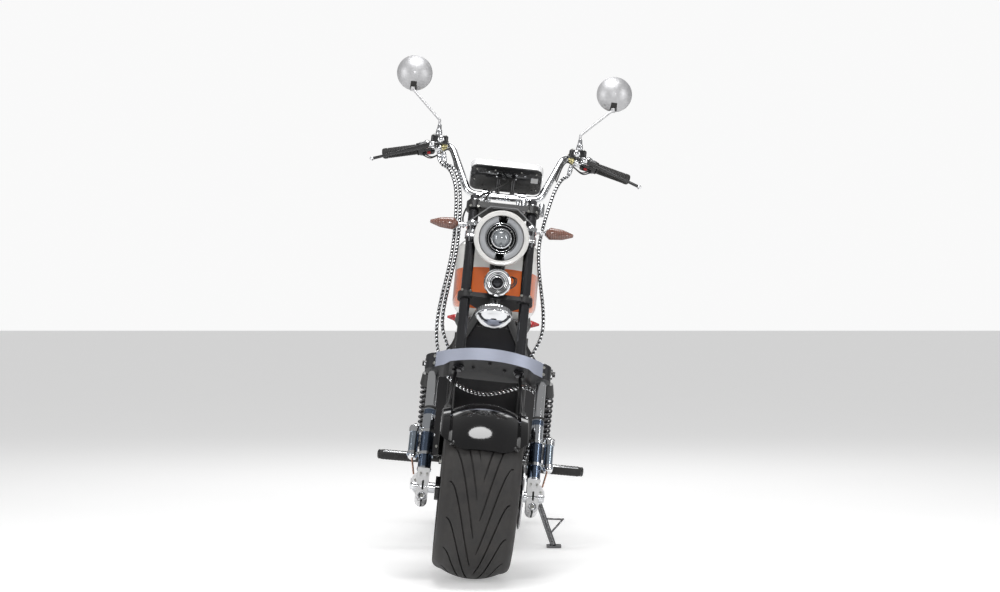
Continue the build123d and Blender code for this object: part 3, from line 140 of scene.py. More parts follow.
# ------------------------------------------------------------------ shader writing
class Shader:
    """A material's node tree while it is being written."""

    def __init__(self, name: str) -> None:
        """Starts an empty material with one Principled shader."""
        self.material = bpy.data.materials.new(name)
        self.material.use_nodes = True
        self.tree = self.material.node_tree
        self.tree.nodes.clear()
        self.principled = self.add("ShaderNodeBsdfPrincipled")
        output = self.add("ShaderNodeOutputMaterial")
        self.tree.links.new(self.principled.outputs["BSDF"], output.inputs["Surface"])

    def add(self, kind: str, **settings: object) -> bpy.types.Node:
        """Adds a node and sets its properties."""
        node = self.tree.nodes.new(kind)
        for key, value in settings.items():
            setattr(node, key, value)
        return node

    def plug(self, value: object, socket: bpy.types.NodeSocket) -> None:
        """Links an output to a socket, or writes a plain value on it."""
        if isinstance(value, bpy.types.NodeSocket):
            self.tree.links.new(value, socket)
        else:
            socket.default_value = value

    def set(self, name: str, value: object) -> None:
        """Sets one input of the Principled shader to a value or a link."""
        if isinstance(value, tuple) and len(value) == 3:
            value = (*value, 1.0)
        self.plug(value, self.principled.inputs[name])

    def place(self, frame_of: Matrix | None = None, stretch: Point = (1, 1, 1)) -> bpy.types.NodeSocket:
        """Object coordinates, turned into a frame of the machine and stretched.

        Args:
            frame_of: the frame to read them in, or None for the row frame.
            stretch: scale along each axis.

        Returns:
            The vector output.
        """
        vector = self.add("ShaderNodeTexCoord").outputs["Object"]
        if frame_of is not None:
            inverse = frame_of.inverted()
            turned = self.add("ShaderNodeMapping")
            turned.inputs["Location"].default_value = inverse.to_translation()
            turned.inputs["Rotation"].default_value = inverse.to_euler("XYZ")
            self.plug(vector, turned.inputs["Vector"])
            vector = turned.outputs["Vector"]
        if tuple(stretch) != (1, 1, 1):
            scaled = self.add("ShaderNodeMapping")
            scaled.inputs["Scale"].default_value = stretch
            self.plug(vector, scaled.inputs["Vector"])
            vector = scaled.outputs["Vector"]
        return vector

    def noise(
        self, vector: object, scale: float, detail: float = 3.0, rough: float = 0.5
    ) -> bpy.types.NodeSocket:
        """A noise value at a scale in cells per metre."""
        node = self.add("ShaderNodeTexNoise")
        self.plug(vector, node.inputs["Vector"])
        node.inputs["Scale"].default_value = scale
        node.inputs["Detail"].default_value = detail
        node.inputs["Roughness"].default_value = rough
        return node.outputs["Fac"]

    def cells(
        self, vector: object, scale: float, feature: str = "F1", output: str = "Distance"
    ) -> bpy.types.NodeSocket:
        """A Voronoi value at a scale in cells per metre."""
        node = self.add("ShaderNodeTexVoronoi", feature=feature)
        self.plug(vector, node.inputs["Vector"])
        node.inputs["Scale"].default_value = scale
        return node.outputs[output]

    def wave(
        self, vector: object, scale: float, direction: str, profile: str = "SIN"
    ) -> bpy.types.NodeSocket:
        """Parallel bands across one axis, at a scale of waves in 2 pi / 20 metres."""
        node = self.add("ShaderNodeTexWave", bands_direction=direction, wave_profile=profile)
        self.plug(vector, node.inputs["Vector"])
        node.inputs["Scale"].default_value = scale
        return node.outputs["Fac"]

    def spread(
        self, value: object, low: float, high: float, start: float = 0.3, stop: float = 0.7
    ) -> bpy.types.NodeSocket:
        """Maps a value's working range onto low to high."""
        node = self.add("ShaderNodeMapRange")
        self.plug(value, node.inputs["Value"])
        for name, number in (("From Min", start), ("From Max", stop), ("To Min", low), ("To Max", high)):
            node.inputs[name].default_value = number
        return node.outputs["Result"]

    def sum_of(self, operation: str, a: object, b: object) -> bpy.types.NodeSocket:
        """One Math node of two values."""
        node = self.add("ShaderNodeMath", operation=operation)
        self.plug(a, node.inputs[0])
        self.plug(b, node.inputs[1])
        return node.outputs[0]

    def blend(self, fac: object, a: object, b: object) -> bpy.types.NodeSocket:
        """Mixes two colours by a value."""
        node = self.add("ShaderNodeMix", data_type="RGBA")
        self.plug(fac, node.inputs["Factor"])
        for socket, colour in ((node.inputs[6], a), (node.inputs[7], b)):
            self.plug((*colour, 1.0) if isinstance(colour, tuple) else colour, socket)
        return node.outputs[2]

    def steps(
        self, value: object, stops: Iterable[tuple[float, Colour]], smooth: bool = False
    ) -> bpy.types.NodeSocket:
        """Colours by a value, in flat steps or smooth runs."""
        node = self.add("ShaderNodeValToRGB")
        ramp = node.color_ramp
        ramp.interpolation = "LINEAR" if smooth else "CONSTANT"
        stops = list(stops)
        while len(ramp.elements) < len(stops):
            ramp.elements.new(0.5)
        for element, (place, colour) in zip(ramp.elements, stops):
            element.position = place
            element.color = (*colour, 1.0)
        self.plug(value, node.inputs["Fac"])
        return node.outputs["Color"]

    def part(self, vector: object, axis: str) -> bpy.types.NodeSocket:
        """One component of a vector."""
        node = self.add("ShaderNodeSeparateXYZ")
        self.plug(vector, node.inputs[0])
        return node.outputs[axis]

    def bump(
        self, height: object, depth: float, under: object = None, strength: float = 1.0
    ) -> bpy.types.NodeSocket:
        """A bump whose height value of one is a depth in metres."""
        node = self.add("ShaderNodeBump")
        node.inputs["Strength"].default_value = strength
        node.inputs["Distance"].default_value = depth
        self.plug(height, node.inputs["Height"])
        if under is not None:
            self.plug(under, node.inputs["Normal"])
        return node.outputs["Normal"]


# ------------------------------------------------------------------ finishes
@dataclass(frozen=True)
class Finish:
    """A surface with a broken-up colour, an uneven gloss and a fine relief."""

    name: str
    colour: Colour
    shade: Colour
    rough: tuple[float, float]
    metallic: float = 0.0
    coat: float = 0.0
    patch_scale: float = 9.0
    grain_scale: float = 900.0
    grain_depth: float = 0.00004
    specular: float = 0.5
    stretch: Point = (1, 1, 1)

    def make(self) -> bpy.types.Material:
        """Writes the material."""
        shader = Shader(self.name)
        place = shader.place(stretch=self.stretch)
        patches = shader.noise(place, self.patch_scale, 4)
        grain = shader.noise(place, self.grain_scale, 2)
        shader.set("Base Color", shader.blend(shader.spread(patches, 0, 1), self.colour, self.shade))
        mixed = shader.sum_of(
            "ADD", shader.sum_of("MULTIPLY", patches, 0.6), shader.sum_of("MULTIPLY", grain, 0.4)
        )
        shader.set("Roughness", shader.spread(mixed, *self.rough))
        shader.set("Metallic", self.metallic)
        shader.set("Specular IOR Level", self.specular)
        if self.coat:
            shader.set("Coat Weight", self.coat)
            shader.set("Coat Roughness", 0.04)
        shader.set("Normal", shader.bump(grain, self.grain_depth))
        return shader.material


@dataclass(frozen=True)
class BrushedFinish(Finish):
    """Metal with fine parallel scratches across one axis."""

    scratch: Point = (40, 2200, 2200)

    def make(self) -> bpy.types.Material:
        """Writes the material, with streaks in gloss and relief."""
        shader = Shader(self.name)
        streaks = shader.noise(shader.place(stretch=self.scratch), 1.0, 3, 0.65)
        patches = shader.noise(shader.place(), self.patch_scale, 3)
        shader.set("Base Color", shader.blend(shader.spread(streaks, 0, 1), self.colour, self.shade))
        mixed = shader.sum_of(
            "ADD", shader.sum_of("MULTIPLY", patches, 0.4), shader.sum_of("MULTIPLY", streaks, 0.6)
        )
        shader.set("Roughness", shader.spread(mixed, *self.rough))
        shader.set("Metallic", self.metallic)
        shader.set("Normal", shader.bump(streaks, self.grain_depth))
        return shader.material


@dataclass(frozen=True)
class TankPaint:
    """Gloss white above gloss orange, parted by a line that dips to the sides, with a painted reflection in
    white below a set height.
    """

    name: str = "tank_two_tone"
    orange: Colour = (0.78, 0.16, 0.028)
    white: Colour = (0.86, 0.85, 0.82)
    line_height: float = 0.868

    def make(self) -> bpy.types.Material:
        """Writes the paint: the parting line follows height, distance back and distance out."""
        shader = Shader(self.name)
        place = shader.place(BIKE)
        height, out, back = (shader.part(place, axis) for axis in "ZXY")
        drop = shader.sum_of("MULTIPLY", shader.sum_of("MULTIPLY", out, out), 0.6)
        slope = shader.sum_of("MULTIPLY", shader.sum_of("SUBTRACT", back, 0.425), 0.05)
        line = shader.sum_of("ADD", shader.sum_of("ADD", height, drop), slope)
        split = shader.spread(line, 0, 1, self.line_height - 0.0004, self.line_height + 0.0004)
        # Painted reflection: everything below this height is white, standing for a lamp's glare on the lower
        # orange.
        painted_low_reflection = shader.spread(height, 1, 0, 0.742, 0.7428)
        patches = shader.noise(place, 11, 3)
        orange = shader.blend(shader.spread(patches, 0, 1), self.orange, (0.72, 0.135, 0.022))
        split = shader.sum_of("MAXIMUM", split, painted_low_reflection)
        shader.set("Base Color", shader.blend(split, orange, self.white))
        shader.set("Roughness", shader.spread(shader.noise(place, 60, 3), 0.1, 0.19))
        shader.set("Coat Weight", 0.8)
        shader.set("Coat Roughness", 0.03)
        shader.set("Normal", shader.bump(shader.noise(place, 420, 1), 0.00003))
        return shader.material


@dataclass(frozen=True)
class TyreRubber:
    """Matte black rubber, patchy in tone, with fine moulding marks."""

    name: str = "tyre_rubber"

    def make(self) -> bpy.types.Material:
        """Writes the rubber."""
        shader = Shader(self.name)
        place = shader.place()
        dust = shader.noise(place, 26, 5, 0.6)
        grain = shader.noise(place, 2400, 2)
        shader.set(
            "Base Color",
            shader.blend(shader.spread(dust, 0, 1), (0.022, 0.021, 0.021), (0.042, 0.039, 0.037))
        )
        shader.set("Roughness", shader.spread(dust, 0.5, 0.68))
        shader.set("Specular IOR Level", 0.42)
        pores = shader.bump(shader.cells(place, 700), 0.00005)
        shader.set("Normal", shader.bump(grain, 0.00006, pores))
        return shader.material


@dataclass(frozen=True)
class Leatherette:
    """Black grained upholstery with creased cells and a soft sheen."""

    name: str = "seat_leatherette"

    def make(self) -> bpy.types.Material:
        """Writes the upholstery."""
        shader = Shader(self.name)
        place = shader.place()
        cells = shader.cells(place, 520, "DISTANCE_TO_EDGE")
        fine = shader.noise(place, 1500, 3)
        wear = shader.noise(place, 14, 4)
        shader.set(
            "Base Color", shader.blend(shader.spread(wear, 0, 1), (0.018, 0.017, 0.017), (0.034, 0.031, 0.03))
        )
        shader.set("Roughness", shader.spread(wear, 0.42, 0.6))
        shader.set("Sheen Weight", 0.08)
        pebbles = shader.bump(shader.spread(cells, 0, 1, 0.0, 0.25), 0.00028)
        shader.set("Normal", shader.bump(fine, 0.00008, pebbles))
        return shader.material


@dataclass(frozen=True)
class Banded:
    """Bands of different metals up the fork: a coloured body between bright rings."""

    name: str
    body: Colour
    bright: Colour
    bands: tuple[tuple[float, float], ...]
    low: float
    high: float
    below: Colour | None = None
    below_height: float = 0.0

    def make(self) -> bpy.types.Material:
        """Writes the bands, by height along the fork."""
        shader = Shader(self.name)
        place = shader.place(FORK)
        run = self.high - self.low
        height = shader.spread(shader.part(place, "Z"), 0, 1, self.low, self.high)
        stops: list[tuple[float, Colour]] = [(0.0, self.below or self.body)]
        mask: list[tuple[float, Colour]] = [(0.0, (0, 0, 0))]
        if self.below is not None:
            stops.append(((self.below_height - self.low) / run, self.body))
            mask.append(((self.below_height - self.low) / run, (0, 0, 0)))
        for start, stop in self.bands:
            stops += [((start - self.low) / run, self.bright), ((stop - self.low) / run, self.body)]
            mask += [((start - self.low) / run, (1, 1, 1)), ((stop - self.low) / run, (0, 0, 0))]
        colour = shader.steps(height, stops)
        is_bright = shader.steps(height, mask)
        mottle = shader.noise(place, 160, 3)
        shader.set("Base Color", shader.blend(shader.spread(mottle, 0, 0.12), colour, (0.3, 0.32, 0.36)))
        shader.set("Metallic", 1.0)
        gloss = shader.spread(is_bright, 0.2, 0.1, 0, 1)
        shader.set("Roughness", shader.sum_of("ADD", gloss, shader.spread(mottle, -0.03, 0.05)))
        shader.set("Normal", shader.bump(shader.noise(place, 900, 2), 0.00003))
        return shader.material


@dataclass(frozen=True)
class Lens:
    """A tinted moulded lens with a fine prismatic relief inside."""

    name: str
    tint: Colour
    clearness: float = 0.6

    def make(self) -> bpy.types.Material:
        """Writes the lens."""
        shader = Shader(self.name)
        place = shader.place()
        flutes = shader.wave(place, 46, "X")
        pillows = shader.cells(place, 190)
        shader.set("Base Color", shader.blend(shader.spread(flutes, 0, 0.5), self.tint,
                                              tuple(min(1.0, c * 1.5 + 0.05) for c in self.tint)))
        shader.set("Roughness", shader.spread(pillows, 0.06, 0.16))
        shader.set("Transmission Weight", self.clearness)
        shader.set("IOR", 1.49)
        shader.set("Coat Weight", 0.7)
        shader.set("Coat Roughness", 0.03)
        shader.set("Normal", shader.bump(pillows, 0.0006, shader.bump(flutes, 0.0005)))
        return shader.material


@dataclass(frozen=True)
class CrownMetal:
    """The fork crown: bright brushed metal on its face, dark metal on its ends, and the same dark colour
    under the face as painted shade.
    """

    name: str = "brushed_crown"
    bright: Colour = (0.44, 0.47, 0.57)
    dark: Colour = (0.02, 0.02, 0.022)
    face_bottom: float = 0.3604
    face_half: float = 0.152

    def make(self) -> bpy.types.Material:
        """Writes the metal, parted by place in the fork's frame."""
        shader = Shader(self.name)
        place = shader.place(FORK)
        out, height = (shader.part(place, axis) for axis in "XZ")
        inside = shader.spread(
            shader.sum_of("ABSOLUTE", out, 0.0), 1, 0, self.face_half, self.face_half + 0.003
        )
        relief = shader.spread(shader.sum_of("ABSOLUTE", out, 0.0), 0.00835, 0.0004, 0.112, 0.1285)
        floor = shader.sum_of("ADD", relief, self.face_bottom)
        # Below the face's lower edge the dark colour is painted shade of the crown's underside.
        above = shader.spread(shader.sum_of("SUBTRACT", height, floor), 0, 1, -0.0001, 0.0001)
        shown = shader.sum_of("MULTIPLY", inside, above)
        streaks = shader.noise(shader.place(FORK, (30, 30, 1500)), 1.0, 3, 0.6)
        marks = shader.noise(place, 120, 3)
        bright = shader.blend(shader.spread(streaks, 0, 1), self.bright, tuple(c * 0.9 for c in self.bright))
        shader.set("Base Color", shader.blend(shown, self.dark, bright))
        shader.set("Metallic", shader.spread(shown, 0.2, 0.6, 0, 1))
        gloss = shader.sum_of(
            "ADD", shader.sum_of("MULTIPLY", streaks, 0.5), shader.sum_of("MULTIPLY", marks, 0.5)
        )
        shader.set("Roughness", shader.spread(gloss, 0.34, 0.46))
        shader.set("Normal", shader.bump(streaks, 0.00003))
        return shader.material


BLACK_GLOSS = Finish(
    "black_gloss_paint", (0.006, 0.006, 0.0065), (0.009, 0.0085, 0.009), (0.06, 0.12), coat=0.2,
    grain_scale=380, grain_depth=0.00002, specular=0.4
)
BLACK_SATIN = Finish(
    "black_satin_coat", (0.012, 0.012, 0.0125), (0.018, 0.0175, 0.018), (0.28, 0.42), coat=0.25,
    grain_scale=1300, grain_depth=0.00005
)
CHROME = Finish("polished_chrome", (0.78, 0.79, 0.8), (0.71, 0.72, 0.74), (0.03, 0.1), metallic=1.0,
                grain_scale=260, grain_depth=0.00001)
SATIN_CHROME = Finish("satin_chrome", (0.63, 0.64, 0.66), (0.55, 0.56, 0.58), (0.16, 0.28), metallic=1.0)
CAST_SILVER = Finish("cast_silver_paint", (0.8, 0.8, 0.8), (0.7, 0.7, 0.71), (0.28, 0.42), metallic=0.35,
                     coat=0.2, grain_scale=1500, grain_depth=0.0001)
STEEL = BrushedFinish("turned_steel", (0.58, 0.58, 0.59), (0.45, 0.45, 0.46), (0.24, 0.38), metallic=1.0,
                      grain_depth=0.00002, scratch=(1500, 90, 90))
ZINC = Finish(
    "zinc_plated_steel", (0.6, 0.6, 0.57), (0.5, 0.5, 0.46), (0.25, 0.4), metallic=1.0, grain_scale=1800
)
RUBBER = Finish("moulded_rubber", (0.02, 0.02, 0.02), (0.03, 0.029, 0.028), (0.5, 0.66), grain_scale=1700,
                grain_depth=0.00009, specular=0.4)
PLASTIC = Finish(
    "moulded_plastic", (0.022, 0.022, 0.023), (0.03, 0.03, 0.031), (0.34, 0.48), grain_scale=2600,
    grain_depth=0.00007
)
GLOSS_PLASTIC = Finish(
    "gloss_plastic", (0.014, 0.014, 0.015), (0.02, 0.02, 0.021), (0.12, 0.22), grain_scale=500
)
MOTOR_PAINT = Finish("motor_paint", (0.03, 0.03, 0.032), (0.045, 0.045, 0.046), (0.3, 0.45), metallic=0.2,
                     grain_scale=1100, grain_depth=0.00012)
WHITE_GUIDE = Finish("frosted_light_guide", (0.43, 0.44, 0.46), (0.34, 0.35, 0.37), (0.22, 0.34), coat=0.5,
                     grain_scale=700, grain_depth=0.0001)
REFLECTOR = Finish(
    "vapour_plated_reflector", (0.72, 0.73, 0.74), (0.62, 0.63, 0.65), (0.05, 0.12), metallic=1.0
)
DARK_BOWL = Finish("smoked_bowl", (0.05, 0.052, 0.058), (0.09, 0.092, 0.1), (0.12, 0.22), metallic=0.7)
RED_PLASTIC = Finish("red_switch_plastic", (0.5, 0.02, 0.025), (0.4, 0.015, 0.02), (0.25, 0.36))
BRASS_BAND = Finish("gilt_clip", (0.62, 0.56, 0.3), (0.5, 0.45, 0.22), (0.2, 0.32), metallic=1.0)
BRIGHT_BAND = Finish(
    "bright_meter_trim", (0.86, 0.86, 0.86), (0.78, 0.78, 0.79), (0.1, 0.2), metallic=0.15, coat=0.6
)
HOSE_BLACK = Finish("hose_sheath", (0.013, 0.013, 0.014), (0.02, 0.02, 0.021), (0.2, 0.32), grain_scale=900)
PEARL = Finish("pearl_bezel", (0.88, 0.87, 0.85), (0.8, 0.79, 0.77), (0.08, 0.16), metallic=0.15, coat=0.9)
PROJECTOR = Finish(
    "projector_glass", (0.3, 0.32, 0.34), (0.22, 0.235, 0.25), (0.02, 0.06), metallic=0.25, coat=1.0,
    patch_scale=60
)
THREAD = Finish("seat_thread", (0.07, 0.068, 0.066), (0.11, 0.105, 0.1), (0.6, 0.75), grain_scale=3000)
MIRROR_BACK = Finish("mirror_back", (0.56, 0.56, 0.57), (0.49, 0.49, 0.5), (0.4, 0.5), metallic=0.7)
SILVERED = Finish("silvered_glass", (0.9, 0.91, 0.92), (0.87, 0.88, 0.89), (0.0, 0.02), metallic=1.0,
                  grain_depth=0.000001)
DARK_CHROME = Finish("dark_chrome", (0.1, 0.1, 0.105), (0.075, 0.075, 0.08), (0.12, 0.22), metallic=0.95,
                     grain_depth=0.00001)
STAND_METAL = Finish("stand_metal", (0.2, 0.2, 0.205), (0.13, 0.13, 0.135), (0.2, 0.32), metallic=0.85)
BOX_PAINT = Finish("battery_box_paint", (0.014, 0.014, 0.015), (0.022, 0.021, 0.022), (0.12, 0.2),
                   grain_scale=700, specular=0.3)
# A near-black for painted shade inside slots.
SLOT_SHADE = Finish("painted_slot_shade", (0.008, 0.008, 0.008), (0.012, 0.012, 0.012), (0.5, 0.7), specular=0.2)
SCREEN = Finish("meter_screen", (0.01, 0.012, 0.014), (0.014, 0.016, 0.019), (0.04, 0.1), coat=1.0)
BLANK_LABEL = Finish("blank_square", (0.6, 0.6, 0.6), (0.52, 0.52, 0.53), (0.5, 0.62))
SLIDER = Banded("anodised_slider", (0.12, 0.16, 0.23), (0.66, 0.69, 0.73),
                ((0.054, 0.061), (0.165, 0.221), (0.236, 0.241)), 0.04, 0.26)
RESERVOIR = Banded("anodised_reservoir", (0.36, 0.42, 0.49), (0.8, 0.81, 0.83),
                   ((0.0965, 0.107), (0.1645, 0.19)), 0.03, 0.2, below=(0.36, 0.2, 0.14), below_height=0.0955)
AMBER = Lens("amber_lens", (0.2, 0.09, 0.065), clearness=0.2)
RED = Lens("red_lens", (0.5, 0.012, 0.014), clearness=0.25)
TYRE = TyreRubber()
LEATHER = Leatherette()
TANK = TankPaint()
CROWN = CrownMetal()

MADE: dict[str, bpy.types.Material] = {}


def material(finish: Finish) -> bpy.types.Material:
    """The material of a finish, written the first time it is asked for."""
    if finish.name not in MADE:
        MADE[finish.name] = finish.make()
    return MADE[finish.name]


# ------------------------------------------------------------------ mesh writing
def smooth_path(points: Sequence[Sequence[float]], steps: int = 8) -> list[Vector]:
    """A soft run through a few points of a rigid wire or rod, bent as it passes each one.

    Args:
        points: the points that the run passes through.
        steps: pieces between two points.

    Returns:
        The points of the run.
    """
    marks = [Vector(p) for p in points]
    ends = [marks[0] * 2 - marks[1], *marks, marks[-1] * 2 - marks[-2]]
    run: list[Vector] = []
    for a, b, c, d in zip(ends, ends[1:], ends[2:], ends[3:]):
        for k in range(steps):
            t = k / steps
            run.append(
                0.5 * (
                    2 * b + (c - a) * t + (2 * a - 5 * b + 4 * c - d) * t * t + (3 * b - a - 3 * c + d) * t**3
                )
            )
    return [*run, marks[-1]]


def rounded_rectangle(
    width: float, height: float, radius: float, steps: int = 5
) -> list[tuple[float, float]]:
    """A rectangle's outline with round corners, centred on the origin."""
    outline = []
    for turn, (x, y) in enumerate(((1, 1), (-1, 1), (-1, -1), (1, -1))):
        for k in range(steps + 1):
            angle = (turn + k / steps) * pi / 2
            outline.append(
                (
                    x * (width / 2 - radius) + radius * cos(angle),
                    y * (height / 2 - radius) + radius * sin(angle)
                )
            )
    return outline


def frame_at(place: Vector, axis: Vector, near: Vector = Vector((0, 0, 1))) -> Matrix:
    """A frame whose Z runs along an axis, with X kept square to a second direction.

    Args:
        place: the origin.
        axis: the direction of Z.
        near: a direction for Y to lean to.

    Returns:
        The frame.
    """
    z = Vector(axis).normalized()
    near = Vector(near)
    if abs(z.dot(near.normalized())) > 0.98:
        near = Vector((0, 1, 0)) if abs(z.y) < 0.9 else Vector((1, 0, 0))
    x = near.cross(z).normalized()
    y = z.cross(x)
    return Matrix.Translation(place) @ Matrix((x, y, z)).transposed().to_4x4()


class Shape:
    """Points and faces of one piece, added form by form in any frame of the machine."""

    def __init__(self, place: Matrix = Matrix.Identity(4)) -> None:
        """Starts an empty shape whose forms are written in a frame."""
        self.place = place
        self.points: list[Vector] = []
        self.faces: list[tuple[int, ...]] = []

    def point(self, where: Vector) -> int:
        """Adds a point, given in the shape's frame."""
        self.points.append(self.place @ Vector(where))
        return len(self.points) - 1

    def face(self, corners: Iterable[int]) -> None:
        """Adds a face, leaving out repeated corners."""
        ring = tuple(dict.fromkeys(corners))
        if len(ring) >= 3:
            self.faces.append(ring)

    def skin(self, rows: Sequence[Sequence[int]], loop: bool = False) -> None:
        """Joins rows of points with faces, each row closed on itself."""
        pairs = list(zip(rows, rows[1:])) + ([(rows[-1], rows[0])] if loop else [])
        for low, high in pairs:
            for k in range(len(low)):
                n = (k + 1) % len(low)
                self.face((low[k], low[n], high[n], high[k]))

    def loft(self, rows: Sequence[Sequence[int]]) -> None:
        """Joins rows of points with faces and closes the first and the last row."""
        self.skin(rows)
        self.face(rows[0])
        self.face(rows[-1])

    def lathe(
        self, place: Matrix, profile: Sequence[tuple[float, float]], turns: int = 48, loop: bool = False
    ) -> "Shape":
        """Turns a section round the Z of a frame.

        Args:
            place: the frame, inside the shape's own.
            profile: radius and height of each corner, in order.
            turns: points round the circle.
            loop: whether the last corner joins the first, as in a ring.

        Returns:
            The shape.
        """
        rows = []
        for radius, height in profile:
            if radius < 1e-6:
                rows.append([self.point(place @ Vector((0, 0, height)))] * turns)
            else:
                rows.append(
                    [
                        self.point(
                            place @ Vector(
                                (radius * cos(tau * k / turns), radius * sin(tau * k / turns), height)
                            )
                        )
                        for k in range(turns)
                    ]
                )
        self.skin(rows, loop)
        if not loop:
            for row in (rows[0], rows[-1]):
                self.face(row)
        return self

    def sweep(
        self, path: Sequence[Vector], outline: Sequence[tuple[float, float]] | float, sides: int = 14,
        near: Vector = Vector((0, 0, 1)), grow: Callable[[float], float] | None = None, loop: bool = False,
    ) -> "Shape":
        """Carries an outline along a path without twisting it.

        Args:
            path: the points of the path.
            outline: the outline's corners, or a radius.
            sides: corners of a round outline.
            near: a direction for the outline's Y at the start.
            grow: scale of the outline by the share of the length gone.
            loop: whether the path is closed.

        Returns:
            The shape.
        """
        if isinstance(outline, float):
            outline = [(outline * cos(tau * k / sides), outline * sin(tau * k / sides)) for k in range(sides)]
        path = [Vector(p) for p in path]
        count = len(path)
        gone = [0.0]
        for a, b in zip(path, path[1:]):
            gone.append(gone[-1] + (b - a).length)
        rows = []
        turn: Matrix | None = None
        for k, here in enumerate(path):
            before = path[k - 1] if k or loop else here
            after = path[(k + 1) % count] if k < count - 1 or loop else here
            along = (after - before).normalized()
            if turn is None:
                turn = frame_at(Vector(), along, near).to_3x3()
            else:
                turn = (turn.col[2].rotation_difference(along).to_matrix() @ turn).to_3x3()
            size = grow(gone[k] / gone[-1]) if grow else 1.0
            rows.append([self.point(here + turn @ Vector((x * size, y * size, 0))) for x, y in outline])
        self.skin(rows, loop)
        if not loop:
            self.face(rows[0])
            self.face(rows[-1])
        return self

    def prism(
        self, place: Matrix, outline: Sequence[tuple[float, float]], low: float, high: float,
        taper: float = 1.0,
    ) -> "Shape":
        """A straight block of an outline between two heights of a frame, narrowed to the top by a taper."""
        rows = [
            [self.point(place @ Vector((x * scale, y * scale, z))) for x, y in outline]
            for z, scale in ((low, 1.0), (high, taper))
        ]
        self.loft(rows)
        return self

    def block(
        self, low: Sequence[float], high: Sequence[float], place: Matrix = Matrix.Identity(4)
    ) -> "Shape":
        """A box between two corners of a frame."""
        outline = ((low[0], low[1]), (high[0], low[1]), (high[0], high[1]), (low[0], high[1]))
        return self.prism(place, outline, low[2], high[2])

    def rod(
        self, a: Sequence[float], b: Sequence[float], radius: float, sides: int = 20, round_end: float = 0.0
    ) -> "Shape":
        """A round rod between two points, with its ends eased by a radius."""
        a, b = Vector(a), Vector(b)
        length = (b - a).length
        ease = min(round_end, radius * 0.98, length / 2)
        if ease:
            start = [
                (radius - ease + ease * sin(t * pi / 8), ease - ease * cos(t * pi / 8)) for t in range(5)
            ]
            profile = [(0, 0), *start, *[(r, length - z) for r, z in reversed(start)], (0, length)]
        else:
            profile = [(0, 0), (radius, 0), (radius, length), (0, length)]
        return self.lathe(frame_at(a, b - a), profile, sides)

    def ball(self, centre: Sequence[float], radius: float, turns: int = 20) -> "Shape":
        """A round knob."""
        rows = turns // 2
        profile = [(radius * sin(pi * k / rows), -radius * cos(pi * k / rows)) for k in range(rows + 1)]
        return self.lathe(Matrix.Translation(Vector(centre)), profile, turns)

    def mesh(self, name: str, bevel: float = 0.0, segments: int = 2, angle: float = 40.0) -> bpy.types.Mesh:
        """Closes the shape into a mesh with outward faces, eased edges and sharp corners kept.

        Args:
            name: the mesh's name.
            bevel: width of the eased edge.
            segments: steps in the eased edge.
            angle: corner angle in degrees above which an edge is eased or kept sharp.

        Returns:
            The mesh.
        """
        form = bmesh.new()
        points = [form.verts.new(p) for p in self.points]
        for corners in self.faces:
            try:
                form.faces.new([points[c] for c in corners])
            except ValueError:
                continue
        bmesh.ops.remove_doubles(form, verts=form.verts, dist=2e-6)
        loose = [v for v in form.verts if not v.link_faces]
        bmesh.ops.delete(form, geom=loose, context="VERTS")
        bmesh.ops.recalc_face_normals(form, faces=form.faces)
        if bevel:
            edges = [e for e in form.edges if e.is_manifold and e.calc_face_angle(0) > radians(angle)]
            bmesh.ops.bevel(form, geom=edges, offset=bevel, segments=segments, profile=0.6, affect="EDGES",
                            clamp_overlap=True)
        mesh = bpy.data.meshes.new(name)
        form.to_mesh(mesh)
        form.free()
        mesh.shade_smooth()
        mesh.set_sharp_from_angle(angle=radians(angle))
        return mesh


def place_piece(
    name: str, mesh: bpy.types.Mesh, finish: Finish, body: Body, replaces: Sequence[str] = (),
) -> bpy.types.Object:
    """Makes a mesh a piece of the machine.

    Args:
        name: the piece's name.
        mesh: its finished mesh, in the row frame.
        finish: its surface.
        body: the body it rides on.
        replaces: CAD nodes that it stands for.

    Returns:
        The piece.
    """
    piece = bpy.data.objects.new(name, mesh)
    bpy.context.scene.collection.objects.link(piece)
    mesh.materials.clear()
    mesh.materials.append(material(finish))
    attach(piece, body.value)
    if replaces:
        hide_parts(*replaces)
    log.info("%-26s %-12s %7d faces", name, body.value, len(mesh.polygons))
    return piece


def add_piece(
    name: str, shape: Shape, finish: Finish, body: Body, bevel: float = 0.0, segments: int = 2,
    angle: float = 40.0, replaces: Sequence[str] = (),
) -> bpy.types.Object:
    """Closes a shape and makes it a piece of the machine."""
    return place_piece(name, shape.mesh(name, bevel, segments, angle), finish, body, replaces)


